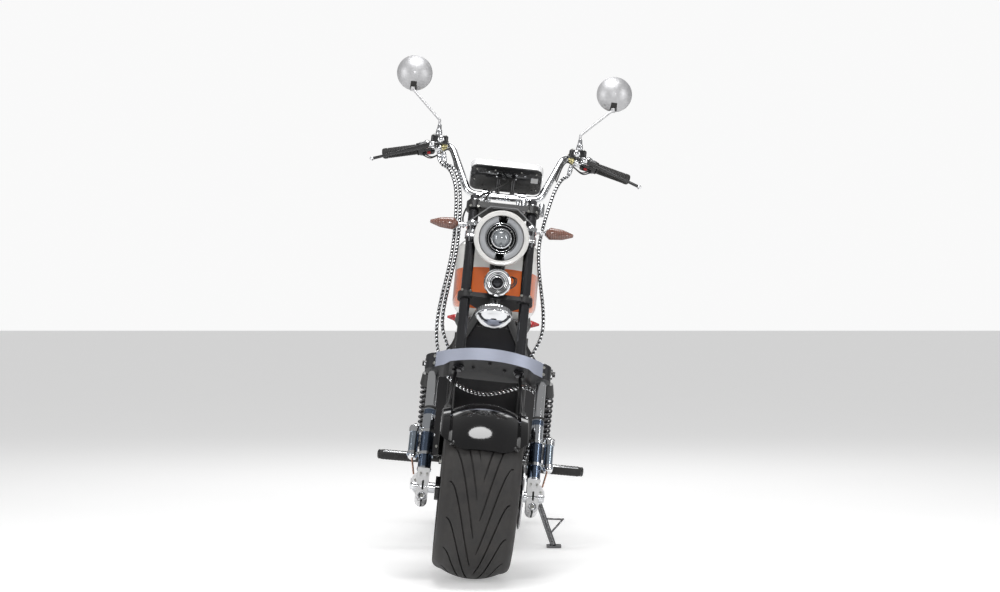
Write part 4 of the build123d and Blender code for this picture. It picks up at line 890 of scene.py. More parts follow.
# ------------------------------------------------------------------ geometry node trees
class Tree:
    """A geometry node tree while it is being written, and the way to grow a mesh from it."""

    def __init__(self, name: str, **inputs: str) -> None:
        """Starts a tree with a geometry input and named inputs of the given socket types."""
        self.tree = bpy.data.node_groups.new(name, "GeometryNodeTree")
        self.tree.interface.new_socket("Geometry", in_out="INPUT", socket_type="NodeSocketGeometry")
        for key, kind in inputs.items():
            self.tree.interface.new_socket(key, in_out="INPUT", socket_type=f"NodeSocket{kind}")
        self.tree.interface.new_socket("Finish", in_out="INPUT", socket_type="NodeSocketMaterial")
        self.tree.interface.new_socket("Geometry", in_out="OUTPUT", socket_type="NodeSocketGeometry")
        self.source = self.tree.nodes.new("NodeGroupInput")
        self.sink = self.tree.nodes.new("NodeGroupOutput")

    def given(self, name: str) -> bpy.types.NodeSocket:
        """An input of the tree."""
        return self.source.outputs[name]

    def add(
        self, kind: str, plugs: dict[str | int, object] | None = None, **settings: object
    ) -> bpy.types.Node:
        """Adds a node, sets its properties, and links or writes its inputs.

        Args:
            kind: the node type, given in full.
            plugs: inputs by name or place, each an output or a plain value.
            **settings: properties.

        Returns:
            The node.
        """
        node = self.tree.nodes.new(kind)
        for key, value in settings.items():
            setattr(node, key, value)
        for key, value in (plugs or {}).items():
            if isinstance(value, bpy.types.NodeSocket):
                self.tree.links.new(value, node.inputs[key])
            else:
                node.inputs[key].default_value = value
        return node

    def close(self, geometry: bpy.types.NodeSocket) -> "Tree":
        """Ends the tree in real geometry with its finish on it."""
        real = self.add("GeometryNodeRealizeInstances", {"Geometry": geometry})
        dressed = self.add(
            "GeometryNodeSetMaterial", {"Geometry": real.outputs[0], "Material": self.given("Finish")}
        )
        self.tree.links.new(dressed.outputs[0], self.sink.inputs[0])
        return self

    def grow(
        self, name: str, base: bpy.types.ID, finish: Finish, angle: float = 40.0, **values: object
    ) -> bpy.types.Mesh:
        """Runs the tree on a base mesh or curve and keeps the result as a plain mesh.

        Args:
            name: the mesh's name.
            base: the mesh or curve that the tree starts from.
            finish: the surface.
            angle: corner angle above which an edge stays sharp.
            **values: the tree's inputs by name.

        Returns:
            The mesh.
        """
        carrier = bpy.data.objects.new(f"{name}_base", base)
        bpy.context.scene.collection.objects.link(carrier)
        lent = [value for value in values.values() if isinstance(value, bpy.types.Object)]
        for item in lent:
            bpy.context.scene.collection.objects.link(item)
        modifier = carrier.modifiers.new("grow", "NODES")
        modifier.node_group = self.tree
        identifiers = {s.name: s.identifier for s in self.tree.interface.items_tree if s.in_out == "INPUT"}
        for key, value in {**values, "Finish": material(finish)}.items():
            modifier[identifiers[key]] = value
        bpy.context.view_layer.update()
        graph = bpy.context.evaluated_depsgraph_get()
        mesh = bpy.data.meshes.new_from_object(carrier.evaluated_get(graph), depsgraph=graph)
        mesh.name = name
        for item in (carrier, *lent):
            bpy.data.objects.remove(item)
        mesh.shade_smooth()
        mesh.set_sharp_from_angle(angle=radians(angle))
        return mesh


def ring_tree() -> Tree:
    """Copies of an item turned round an axis, a step apart."""
    tree = Tree("ring_of_items", Item="Object", Count="Int", Step="Float", Centre="Vector", Axis="Vector")
    marks = tree.add("GeometryNodeMeshLine", {"Count": tree.given("Count")})
    number = tree.add("GeometryNodeInputIndex")
    angle = tree.add("ShaderNodeMath", {0: number.outputs[0], 1: tree.given("Step")}, operation="MULTIPLY")
    turn = tree.add(
        "FunctionNodeAxisAngleToRotation", {"Axis": tree.given("Axis"), "Angle": angle.outputs[0]}
    )
    swung = tree.add(
        "FunctionNodeRotateVector", {"Vector": tree.given("Centre"), "Rotation": turn.outputs[0]}
    )
    shift = tree.add(
        "ShaderNodeVectorMath", {0: tree.given("Centre"), 1: swung.outputs[0]}, operation="SUBTRACT"
    )
    moved = tree.add("GeometryNodeSetPosition", {"Geometry": marks.outputs[0], "Position": shift.outputs[0]})
    item = tree.add("GeometryNodeObjectInfo", {"Object": tree.given("Item")})
    copies = tree.add("GeometryNodeInstanceOnPoints", {
        "Points": moved.outputs[0], "Instance": item.outputs["Geometry"], "Rotation": turn.outputs[0],
    })
    return tree.close(copies.outputs[0])


def marker_tree() -> Tree:
    """Copies of an item on marked points, each turned to the direction kept on its point."""
    tree = Tree("items_on_marks", Item="Object", Size="Float")
    aim = tree.add("GeometryNodeInputNamedAttribute", {"Name": "aim"}, data_type="FLOAT_VECTOR")
    turn = tree.add("FunctionNodeAlignRotationToVector", {"Vector": aim.outputs["Attribute"]}, axis="Z")
    item = tree.add("GeometryNodeObjectInfo", {"Object": tree.given("Item")})
    copies = tree.add("GeometryNodeInstanceOnPoints", {
        "Points": tree.given("Geometry"), "Instance": item.outputs["Geometry"], "Rotation": turn.outputs[0],
        "Scale": tree.given("Size"),
    })
    return tree.close(copies.outputs[0])


def spiral_tree() -> Tree:
    """A strip wound round a path at a pitch."""
    tree = Tree(
        "spiral_round_path", Pitch="Float", Radius="Float", Wide="Float", Thick="Float", Step="Float",
        Start="Float"
    )
    fine = tree.add(
        "GeometryNodeResampleCurve", {"Curve": tree.given("Geometry"), "Length": tree.given("Step")},
        mode="LENGTH"
    )
    gone = tree.add("GeometryNodeSplineParameter")
    share = tree.add(
        "ShaderNodeMath", {0: gone.outputs["Length"], 1: tree.given("Pitch")}, operation="DIVIDE"
    )
    angle = tree.add(
        "ShaderNodeMath", {0: share.outputs[0], 1: tau, 2: tree.given("Start")}, operation="MULTIPLY_ADD"
    )
    normal = tree.add("GeometryNodeInputNormal")
    tangent = tree.add("GeometryNodeInputTangent")
    turn = tree.add(
        "FunctionNodeAxisAngleToRotation", {"Axis": tangent.outputs[0], "Angle": angle.outputs[0]}
    )
    out = tree.add("FunctionNodeRotateVector", {"Vector": normal.outputs[0], "Rotation": turn.outputs[0]})
    away = tree.add(
        "ShaderNodeVectorMath", {0: out.outputs[0], "Scale": tree.given("Radius")}, operation="SCALE"
    )
    kept = tree.add("GeometryNodeCaptureAttribute", {"Geometry": fine.outputs[0]})
    kept.capture_items.new("VECTOR", "Out")
    tree.tree.links.new(away.outputs[0], kept.inputs["Out"])
    wound = tree.add("GeometryNodeSetPosition", {"Geometry": kept.outputs[0], "Offset": kept.outputs["Out"]})
    face = tree.add("GeometryNodeSetCurveNormal", {"Curve": wound.outputs[0]}, mode="FREE")
    tree.tree.links.new(kept.outputs["Out"], face.inputs["Normal"])
    strip = tree.add(
        "GeometryNodeCurvePrimitiveQuadrilateral", {0: tree.given("Thick"), 1: tree.given("Wide")}
    )
    eased = tree.add("GeometryNodeFilletCurve", {"Curve": strip.outputs[0]}, mode="POLY")
    eased.inputs["Count"].default_value = 2
    half = tree.add("ShaderNodeMath", {0: tree.given("Thick"), 1: 0.45}, operation="MULTIPLY")
    tree.tree.links.new(half.outputs[0], eased.inputs["Radius"])
    solid = tree.add(
        "GeometryNodeCurveToMesh",
        {"Curve": face.outputs[0], "Profile Curve": eased.outputs[0], "Fill Caps": True}
    )
    return tree.close(solid.outputs[0])


def path_curve(
    points: Sequence[Vector], place: Matrix = Matrix.Identity(4), smooth: bool = False
) -> bpy.types.Curve:
    """A curve through the points of a frame, as straight runs or as a NURBS line that they steer.

    Args:
        points: the points.
        place: the frame they are written in.
        smooth: whether the line is a NURBS spline.

    Returns:
        The curve.
    """
    curve = bpy.data.curves.new("path", "CURVE")
    curve.dimensions = "3D"
    curve.twist_mode = "MINIMUM"
    spline = curve.splines.new("NURBS" if smooth else "POLY")
    spline.points.add(len(points) - 1)
    for mark, where in zip(spline.points, points):
        mark.co = (*(place @ Vector(where)), 1.0)
    if smooth:
        spline.order_u = 3
        spline.use_endpoint_u = True
        spline.resolution_u = 16
    return curve


def mark_on(place: Matrix, x: float, y: float) -> tuple[Vector, Vector]:
    """A mark on the XY plane of a frame that faces along its Z."""
    return place @ Vector((x, y, 0)), place.to_3x3() @ Vector((0, 0, 1))


def marks_mesh(marks: Sequence[tuple[Vector, Vector]], place: Matrix) -> bpy.types.Mesh:
    """Points of a frame with the direction that an item on each one faces."""
    mesh = bpy.data.meshes.new("marks")
    mesh.from_pydata([place @ Vector(p) for p, _ in marks], [], [])
    aim = mesh.attributes.new("aim", "FLOAT_VECTOR", "POINT")
    turn = place.to_3x3()
    for entry, (_, direction) in zip(aim.data, marks):
        entry.vector = (turn @ Vector(direction)).normalized()
    return mesh


RING = ring_tree()
ON_MARKS = marker_tree()
SPIRAL = spiral_tree()


def item_from(shape: Shape, bevel: float = 0.0, segments: int = 1) -> bpy.types.Object:
    """An object that only lends its mesh to a tree."""
    return bpy.data.objects.new("item", shape.mesh("item", bevel, segments))


# ------------------------------------------------------------------ small hardware
class Head(Enum):
    """Kinds of screw head."""

    HEX = "hex"
    SOCKET = "socket"
    BUTTON = "button"
    PIN = "pin"


@dataclass
class Screws:
    """Screws of one kind, set on marked points of one body."""

    name: str
    head: Head
    across: float
    tall: float
    body: Body
    finish: Finish
    place: Matrix
    marks: list[tuple[Sequence[float], Sequence[float]]] = field(default_factory=list)

    def item(self) -> Shape:
        """One screw head, sunk a little under its seat."""
        shape = Shape()
        r, h = self.across / 2, self.tall
        sunk = -0.0008
        if self.head is Head.HEX:
            washer = [(0, sunk), (r * 1.35, sunk), (r * 1.35, h * 0.14), (0, h * 0.14)]
            shape.lathe(Matrix.Identity(4), washer, 16)
            outline = [(r * cos(pi / 3 * k), r * sin(pi / 3 * k)) for k in range(6)]
            shape.prism(Matrix.Identity(4), outline, 0, h * 0.86)
            shape.prism(Matrix.Identity(4), outline, h * 0.86, h, 0.86)
        elif self.head is Head.SOCKET:
            profile = [
                (0, sunk), (r, sunk), (r, h * 0.9), (r * 0.9, h), (r * 0.52, h), (r * 0.5, h * 0.45),
                (0, h * 0.45)
            ]
            shape.lathe(Matrix.Identity(4), profile, 12)
        elif self.head is Head.BUTTON:
            dome = [(r * cos(t), h * sin(t)) for t in (0, 0.4, 0.8, 1.1)]
            shape.lathe(
                Matrix.Identity(4), [(0, sunk), (r, sunk), *dome, (r * 0.4, h * 0.5), (0, h * 0.5)], 14
            )
        else:
            shape.lathe(Matrix.Identity(4), [(0, sunk), (r, sunk), (r, h * 0.8), (r * 0.8, h), (0, h)], 10)
        return shape

    def build(self, slot: str) -> bpy.types.Object:
        """Sets the screws."""
        marks = [(Vector(p), Vector(d)) for p, d in self.marks]
        mesh = ON_MARKS.grow(self.name, marks_mesh(marks, self.place), self.finish, 35,
                             Item=item_from(self.item()), Size=1.0)
        return place_piece(self.name, mesh, self.finish, self.body)


# ------------------------------------------------------------------ wheels
@dataclass
class TreadedTyre:
    """A wide tubeless tyre with long sweeping grooves cut into its tread.

    The tread is one repeat of the pattern, flat in arc length round and across, that is cut up along the
    grooves, wrapped to the tyre's section and set round the wheel.
    """

    node: str
    body: Body
    wheel: Matrix
    repeats: int = 14
    columns: int = 13
    half_width: float = 0.107
    tread_half: float = 0.08
    crown: float = 0.170
    waist_radius: float = 0.192
    flange: float = 0.1644
    bead: float = 0.1527
    bead_half: float = 0.084
    groove_wide: float = 0.0046
    groove_deep: float = 0.0048

    def section(self) -> list[tuple[float, float]]:
        """Half of the outer section from the crown's middle to the bead, as (out, radius) points."""
        drop = self.crown - sqrt(self.crown**2 - self.tread_half**2)
        radius = TYRE_RADIUS
        reach = asin(self.tread_half / self.crown)
        run = [
            (self.crown * sin(reach * k / 20), radius - self.crown * (1 - cos(reach * k / 20)))
            for k in range(21)
        ]
        corner = radius - drop
        waist = (self.half_width, self.waist_radius)
        top = (self.bead_half, self.flange + 0.004)
        for a, m, b in (
            (run[-1], (waist[0] - 0.006, (corner + waist[1]) / 2 + 0.004), waist),
            (waist, (waist[0] - 0.005, (top[1] + waist[1]) / 2), top),
        ):
            for k in range(1, 9):
                t = k / 8
                run.append(
                    tuple(
                        a[i] * (1 - t) * (1 - 2 * t) + 4 * m[i] * t * (1 - t) + b[i] * t * (2 * t - 1)
                        for i in (0, 1)
                    )
                )
        run += [(self.bead_half, self.bead), (self.bead_half - 0.012, self.bead)]
        return run

    def groove(self, side: int, pitch: float) -> list[tuple[float, float]]:
        """The outline of one groove: a short hook at the shoulder, then a long sweep in to the middle.

        Args:
            side: which half of the tread.
            pitch: length of a repeat round the tyre.

        Returns:
            Corners as (round, across), for a groove whose inner tip is at zero.
        """
        line = [
            (0.0, 0.006), (0.030, 0.0125), (0.075, 0.0225), (0.125, 0.0345), (0.175, 0.0475), (0.214, 0.0595),
            (0.240, 0.0690), (0.254, 0.0765), (0.260, 0.0830), (0.2605, 0.0875)
        ]
        start = 0.0 if side > 0 else pitch / 2
        marks = smooth_path([(s, t, 0) for s, t in line], 3)
        left, right = [], []
        for k, here in enumerate(marks):
            before, after = marks[max(k - 1, 0)], marks[min(k + 1, len(marks) - 1)]
            along = (after - before).normalized()
            across = Vector((-along.y, along.x, 0))
            share = k / (len(marks) - 1)
            wide = self.groove_wide / 2 * min(1.0, 0.3 + share * 6, 0.35 + (1 - share) * 9)
            left.append(here + across * wide)
            right.append(here - across * wide)
        ring = [*left, *reversed(right)]
        return [(p.x + start, side * p.y) for p in ring]

    def wrap(self, reach: list[tuple[float, float, float]], s: float, t: float, depth: float) -> Vector:
        """A point of the wheel from its place round and across the flat pattern."""
        gone = abs(t)
        for (a, out_a, rad_a), (b, out_b, rad_b) in zip(reach, reach[1:]):
            if gone <= b + 1e-9:
                share = (gone - a) / (b - a) if b > a else 0
                out, radius = out_a + (out_b - out_a) * share, rad_a + (rad_b - rad_a) * share
                slope = Vector((rad_a - rad_b, out_b - out_a)).normalized()
                break
        else:
            out, radius = reach[-1][1:]
            slope = Vector((0, 1))
        out, radius = out - slope.x * depth, radius - slope.y * depth
        angle = s / TYRE_RADIUS
        return Vector((out if t >= 0 else -out, radius * sin(angle), radius * cos(angle)))

    def repeat(self) -> Shape:
        """One repeat of the tyre, in the wheel's frame."""
        pitch = tau * TYRE_RADIUS / self.repeats
        section = self.section()
        reach = [(0.0, *section[0])]
        for a, b in zip(section, section[1:]):
            reach.append((reach[-1][0] + hypot(b[0] - a[0], b[1] - a[1]), *b))
        rows = sorted({round(side * r[0], 7) for r in reach for side in SIDES})
        points = [Vector((pitch * c / self.columns, t)) for t in rows for c in range(self.columns + 1)]
        count = self.columns + 1
        edges = []
        for r in range(len(rows) - 1):
            edges += [(r * count, (r + 1) * count), (r * count + count - 1, (r + 1) * count + count - 1)]
        edges += [(k, k + 1) for k in range(count - 1)]
        last = (len(rows) - 1) * count
        edges += [(last + k, last + k + 1) for k in range(count - 1)]
        cuts = []
        for side in SIDES:
            flat = self.groove(side, pitch)
            for shift in range(-4, 2):
                ring = [(s + shift * pitch, t) for s, t in flat]
                if max(s for s, _ in ring) < 0 or min(s for s, _ in ring) > pitch:
                    continue
                cuts.append(ring)
                start = len(points)
                points += [Vector(p) for p in ring]
                edges += [(start + k, start + (k + 1) % len(ring)) for k in range(len(ring))]
        spots, _, flats, *_ = delaunay_2d_cdt(points, edges, [], 0, 1e-7)
        shape = Shape(self.wheel)
        tops: dict[int, int] = {}
        floors: dict[int, int] = {}
        sides: dict[tuple[int, int], list[bool]] = {}
        kept = []
        for ring in flats:
            centre = sum((spots[k] for k in ring), Vector((0, 0))) / len(ring)
            if not 0 < centre.x < pitch or abs(centre.y) > rows[-1]:
                continue
            sunk = any(self.holds(cut, centre) for cut in cuts)
            kept.append((ring, sunk))
            for a, b in zip(ring, (*ring[1:], ring[0])):
                sides.setdefault((min(a, b), max(a, b)), []).append(sunk)
        for ring, sunk in kept:
            table = floors if sunk else tops
            for k in ring:
                if k not in table:
                    table[k] = shape.point(
                        self.wrap(reach, spots[k].x, spots[k].y, self.groove_deep if sunk else 0)
                    )
            shape.face(table[k] for k in ring)
        for (a, b), sunk in sides.items():
            if len(sunk) == 2 and sunk[0] != sunk[1]:
                shape.face((tops[a], tops[b], floors[b], floors[a]))
        return shape

    @staticmethod
    def holds(ring: list[tuple[float, float]], where: Vector) -> bool:
        """Whether an outline holds a point."""
        inside = False
        for (ax, ay), (bx, by) in zip(ring, (*ring[1:], ring[0])):
            if (ay > where.y) != (by > where.y) and where.x < (bx - ax) * (where.y - ay) / (by - ay) + ax:
                inside = not inside
        return inside

    def build(self) -> None:
        """Makes the tyre and closes it round the wheel and under its beads."""
        form = bmesh.new()
        shape = self.repeat()
        corners = [form.verts.new(p) for p in shape.points]
        for face in shape.faces:
            try:
                form.faces.new([corners[k] for k in face])
            except ValueError:
                continue
        item = bpy.data.meshes.new("tread_repeat")
        form.to_mesh(item)
        form.free()
        axis = (self.wheel.to_3x3() @ Vector((1, 0, 0))).normalized()
        ring = RING.grow(
            self.node, bpy.data.meshes.new("none"), TYRE, 32, Item=bpy.data.objects.new("item", item),
            Count=self.repeats, Step=tau / self.repeats, Centre=self.wheel.to_translation(), Axis=axis,
        )
        form = bmesh.new()
        form.from_mesh(ring)
        bmesh.ops.remove_doubles(form, verts=form.verts, dist=2e-5)
        edges = [e for e in form.edges if e.is_boundary]
        beads = bmesh.ops.extrude_edge_only(form, edges=edges)
        inner = [v for v in beads["geom"] if isinstance(v, bmesh.types.BMVert)]
        inverse = self.wheel.inverted()
        for v in inner:
            here = inverse @ v.co
            radius = hypot(here.y, here.z)
            grown = (self.bead + 0.006) / radius
            v.co = self.wheel @ Vector((here.x * 0.2, here.y * grown, here.z * grown))
        bridge = [e for e in form.edges if e.is_boundary]
        bmesh.ops.bridge_loops(form, edges=bridge)
        bmesh.ops.recalc_face_normals(form, faces=form.faces)
        mesh = bpy.data.meshes.new(self.node)
        form.to_mesh(mesh)
        form.free()
        mesh.shade_smooth()
        mesh.set_sharp_from_angle(angle=radians(32))
        name = f"treaded_{self.node}"
        mesh.name = name
        place_piece(name, mesh, TYRE, self.body, (self.node,))


FRONT_WHEEL = BARS @ Matrix.Translation((0, 0, TYRE_RADIUS))
REAR_WHEEL = BIKE @ Matrix.Translation((0, WHEELBASE, TYRE_RADIUS))


def mm(x: float, y: float, z: float) -> Vector:
    """A point given in millimetres."""
    return Vector((x, y, z)) / 1000


# ------------------------------------------------------------------ hoses
@dataclass
class ArmouredHose:
    """A black hose in a wound bright wire, laid along a route of the bar frame."""

    name: str
    route: Sequence[Vector]
    radius: float = 0.0045
    pitch: float = 0.0116

    def line(self) -> list[Vector]:
        """The points of the smooth line that the route steers, in the row frame."""
        carrier = bpy.data.objects.new("route", path_curve(self.route, BARS, smooth=True))
        bpy.context.scene.collection.objects.link(carrier)
        bpy.context.view_layer.update()
        graph = bpy.context.evaluated_depsgraph_get()
        mesh = bpy.data.meshes.new_from_object(carrier.evaluated_get(graph), depsgraph=graph)
        points = [v.co.copy() for v in mesh.vertices]
        bpy.data.objects.remove(carrier)
        bpy.data.meshes.remove(mesh)
        return points

    def build(self, replaces: Sequence[str] = ()) -> None:
        """Makes the hose, its armour and a ferrule at each end."""
        line = self.line()
        core = Shape().sweep(line, self.radius, 14)
        for end, inside in ((line[0], line[3]), (line[-1], line[-4])):
            along = (inside - end).normalized()
            place = frame_at(end, along)
            ferrule = [(0.0, -0.001), (0.0066, -0.001), (0.0072, 0.0), (0.0072, 0.011), (0.0064, 0.0125),
                       (0.0064, 0.0165), (0.0057, 0.0175), (0.0, 0.0175)]
            add_piece(f"{self.name}_ferrule_{'start' if end is line[0] else 'end'}",
                      Shape().lathe(place, ferrule, 20), SATIN_CHROME, Body.STEERING, 0.0003)
        add_piece(f"{self.name}_core", core, HOSE_BLACK, Body.STEERING, replaces=replaces)
        wire = SPIRAL.grow(
            f"{self.name}_armour", path_curve(line[3:-3]), CHROME, 50, Pitch=self.pitch,
            Radius=self.radius + 0.0004, Wide=0.0046, Thick=0.0014, Step=0.0009, Start=0.0
        )
        place_piece(f"{self.name}_armour", wire, CHROME, Body.STEERING)


CROWN_GLAND = FORK_IN_BIKE @ mm(118, 6, 420)
RIGHT_GLAND = FORK_IN_BIKE @ mm(-118, 6, 420)
HOSE_START_Z = 1.18767
CALIPER_END = Vector((0.122, 0, TYRE_RADIUS)) + Vector((0, 1, 1)).normalized() * 0.109
HOSES = (
    ArmouredHose("brake_hose", (
        mm(-206, 513, 0) + Vector((0, 0, HOSE_START_Z)), mm(-201, 505, -25) + Vector((0, 0, HOSE_START_Z)),
        mm(-172, 479, 1153), mm(-150, 452, 1110), mm(-141, 425, 1057), mm(-138, 395, 1001),
        mm(-136.5, 363, 943), mm(-139, 330, 884), mm(-147, 298, 821), mm(-156, 271, 761), mm(-161, 254, 702),
        mm(-159, 248, 654), mm(-150, 243, 609), mm(-135, 231, 568), mm(-106, 216, 531), mm(-60, 208, 508),
        mm(-12, 203, 499), mm(34, 204, 508), mm(76, 208, 524), mm(104, 210.5, 534), mm(132.6, 204.2, 528),
        mm(151, 191.5, 508.3), mm(152.8, 174.7, 478), mm(149, 153, 440), mm(141, 130, 398), mm(131, 109, 360),
        CALIPER_END + mm(0, 18, 18), CALIPER_END,
    )),
    ArmouredHose("right_hose", (
        mm(-191, 513, 0) + Vector((0, 0, HOSE_START_Z)), mm(-187, 505, -24) + Vector((0, 0, HOSE_START_Z)),
        mm(-159, 479, 1157), mm(-137.5, 453, 1112), mm(-128.5, 426, 1060), mm(-125.5, 396, 1004),
        mm(-124, 364, 946), mm(-126.5, 331, 887), mm(-134.5, 299, 824), mm(-143, 272, 764),
        mm(-147, 256, 706), mm(-142, 250, 668), mm(-128, 244, 638), RIGHT_GLAND + UP_THE_AXIS * 0.022,
        RIGHT_GLAND,
    )),
    ArmouredHose("left_hose", (
        mm(192, 513, 0) + Vector((0, 0, HOSE_START_Z)), mm(189, 507, -23) + Vector((0, 0, HOSE_START_Z)),
        mm(171, 489, 1158), mm(151, 463, 1122), mm(136, 432, 1066), mm(123, 393, 1005), mm(114, 357, 946),
        mm(117, 322, 888), mm(129, 291, 824), mm(141, 264, 764), mm(147, 251, 708), mm(141, 247, 668),
        mm(127, 243, 638), CROWN_GLAND + UP_THE_AXIS * 0.022, CROWN_GLAND,
    )),
)


# ------------------------------------------------------------------ lamps and horn
@dataclass
class Headlight:
    """A round lamp: pearl bezel, two arcs of light guide in a smoked bowl and a projector in its middle."""

    centre: Vector = field(default_factory=lambda: mm(0, 270, 953))
    bezel: float = 0.081

    def build(self) -> None:
        """Makes the lamp's pieces."""
        turn = Vector((0, 1, 0))
        place = frame_at(self.centre, turn)
        r = self.bezel
        shell = [(0, 0.044), (0.046, 0.044), (r - 0.012, 0.012), (r - 0.009, 0.012), (r - 0.006, 0.020),
                 (r - 0.008, 0.029), (r - 0.010, 0.040), (0.068, 0.050), (0.063, 0.059), (0.057, 0.067),
                 (0.050, 0.0725), (0.040, 0.0775), (0, 0.078)]
        add_piece(
            "headlight_shell", Shape(BARS).lathe(place, shell, 72), GLOSS_PLASTIC, Body.STEERING,
            replaces=("headlight",)
        )
        bezel = [
            (r - 0.0160, 0.012), (r - 0.0155, 0.004), (r - 0.0140, 0.0), (r - 0.0095, -0.002),
            (r - 0.0035, -0.0018), (r - 0.001, 0.001), (r, 0.006), (r - 0.0005, 0.013), (r - 0.002, 0.020),
            (r - 0.006, 0.0285), (r - 0.009, 0.029), (r - 0.009, 0.012)
        ]
        add_piece(
            "headlight_bezel", Shape(BARS).lathe(place, bezel, 96, loop=True), PEARL, Body.STEERING
        )
        for index, side in enumerate(SIDES):
            guide = Shape(BARS)
            rows = []
            outline = [
                (0.0465, 0.0205), (0.0465, 0.0095), (0.0490, 0.0045), (0.0530, 0.0025), (0.0590, 0.0028),
                (0.0636, 0.0060), (0.0646, 0.0115)
            ]
            for k in range(61):
                angle = radians(-76) + radians(152) * k / 60 + (0 if side > 0 else pi)
                rows.append([guide.point(place @ Vector((radius * cos(angle), radius * sin(angle), high)))
                             for radius, high in outline])
            guide.loft(rows)
            add_piece(f"headlight_guide_{index}", guide, WHITE_GUIDE, Body.STEERING, 0.0005)
        bowl = [
            (0.0, 0.040), (0.030, 0.040), (0.038, 0.036), (0.0445, 0.026), (0.0463, 0.018), (0.0463, 0.0215),
            (0.0450, 0.0300), (0.040, 0.0435), (0.0, 0.0438)
        ]
        add_piece(
            "headlight_bowl", Shape(BARS).lathe(place, bowl, 72), DARK_BOWL, Body.STEERING
        )
        for radius, low, high in ((0.0450, 0.015, 0.0175), (0.0385, 0.024, 0.0285)):
            step = [(radius, high), (radius - 0.0014, high), (radius - 0.0014, low), (radius, low)]
            add_piece(
                f"bowl_step_{round(radius * 1e4)}", Shape(BARS).lathe(place, step, 72, loop=True), REFLECTOR,
                Body.STEERING, 0.0003
            )
        barrel = [
            (0.0, 0.038), (0.031, 0.038), (0.031, 0.019), (0.030, 0.0165), (0.0265, 0.0155), (0.0245, 0.0175),
            (0.0245, 0.0215), (0.0, 0.0215)
        ]
        add_piece(
            "projector_barrel", Shape(BARS).lathe(place, barrel, 64), REFLECTOR, Body.STEERING,
            0.0004
        )
        ball = (0.024**2 + 0.0115**2) / (2 * 0.0115)
        reach = asin(0.024 / ball)
        dome = [(ball * sin(reach * k / 10), 0.0065 + ball * (1 - cos(reach * k / 10))) for k in range(11)]
        add_piece(
            "projector_lens", Shape(BARS).lathe(place, [*dome, (0.0242, 0.0205), (0, 0.0205)], 64), PROJECTOR,
            Body.STEERING
        )
        add_piece(
            "projector_eye",
            Shape(BARS).lathe(place, [(0, 0.0208), (0.0235, 0.0208), (0.0235, 0.0213), (0, 0.0213)], 48),
            DARK_BOWL, Body.STEERING
        )
        marks = [(self.centre + Vector((0.0355 * cos(a), 0.0335, 0.0355 * sin(a))), (0, -1, 0))
                 for a in (radians(40), radians(140), radians(220), radians(320))]
        Screws("bowl_screws", Head.BUTTON, 0.0058, 0.002, Body.STEERING, ZINC, BARS, marks).build("chrome")
        for index, (x, z) in enumerate(((-0.011, 0.045), (0.011, 0.045), (-0.011, -0.045), (0.011, -0.045))):
            place_of = frame_at(self.centre + Vector((x * 1.2, 0.0125, z * 1.28)), Vector((0, -1, 0)))
            add_piece(
                f"guide_foot_{index}",
                Shape(BARS).block((-0.005, -0.004, -0.004), (0.005, 0.004, 0.0045), place_of), GLOSS_PLASTIC,
                Body.STEERING, 0.0006
            )
        for index, side in enumerate(SIDES):
            run = smooth_path([self.centre + mm(12 * side, 44, -63), self.centre + mm(15 * side, 34, -76),
                               self.centre + mm(9 * side, 27, -86), self.centre + mm(3 * side, 38, -92),
                               self.centre + mm(2 * side, 54, -84), self.centre + mm(5 * side, 62, -58)])
            add_piece(
                f"headlight_wire_{index}", Shape(BARS).sweep(run, 0.0016, 8), RUBBER, Body.STEERING,
            )


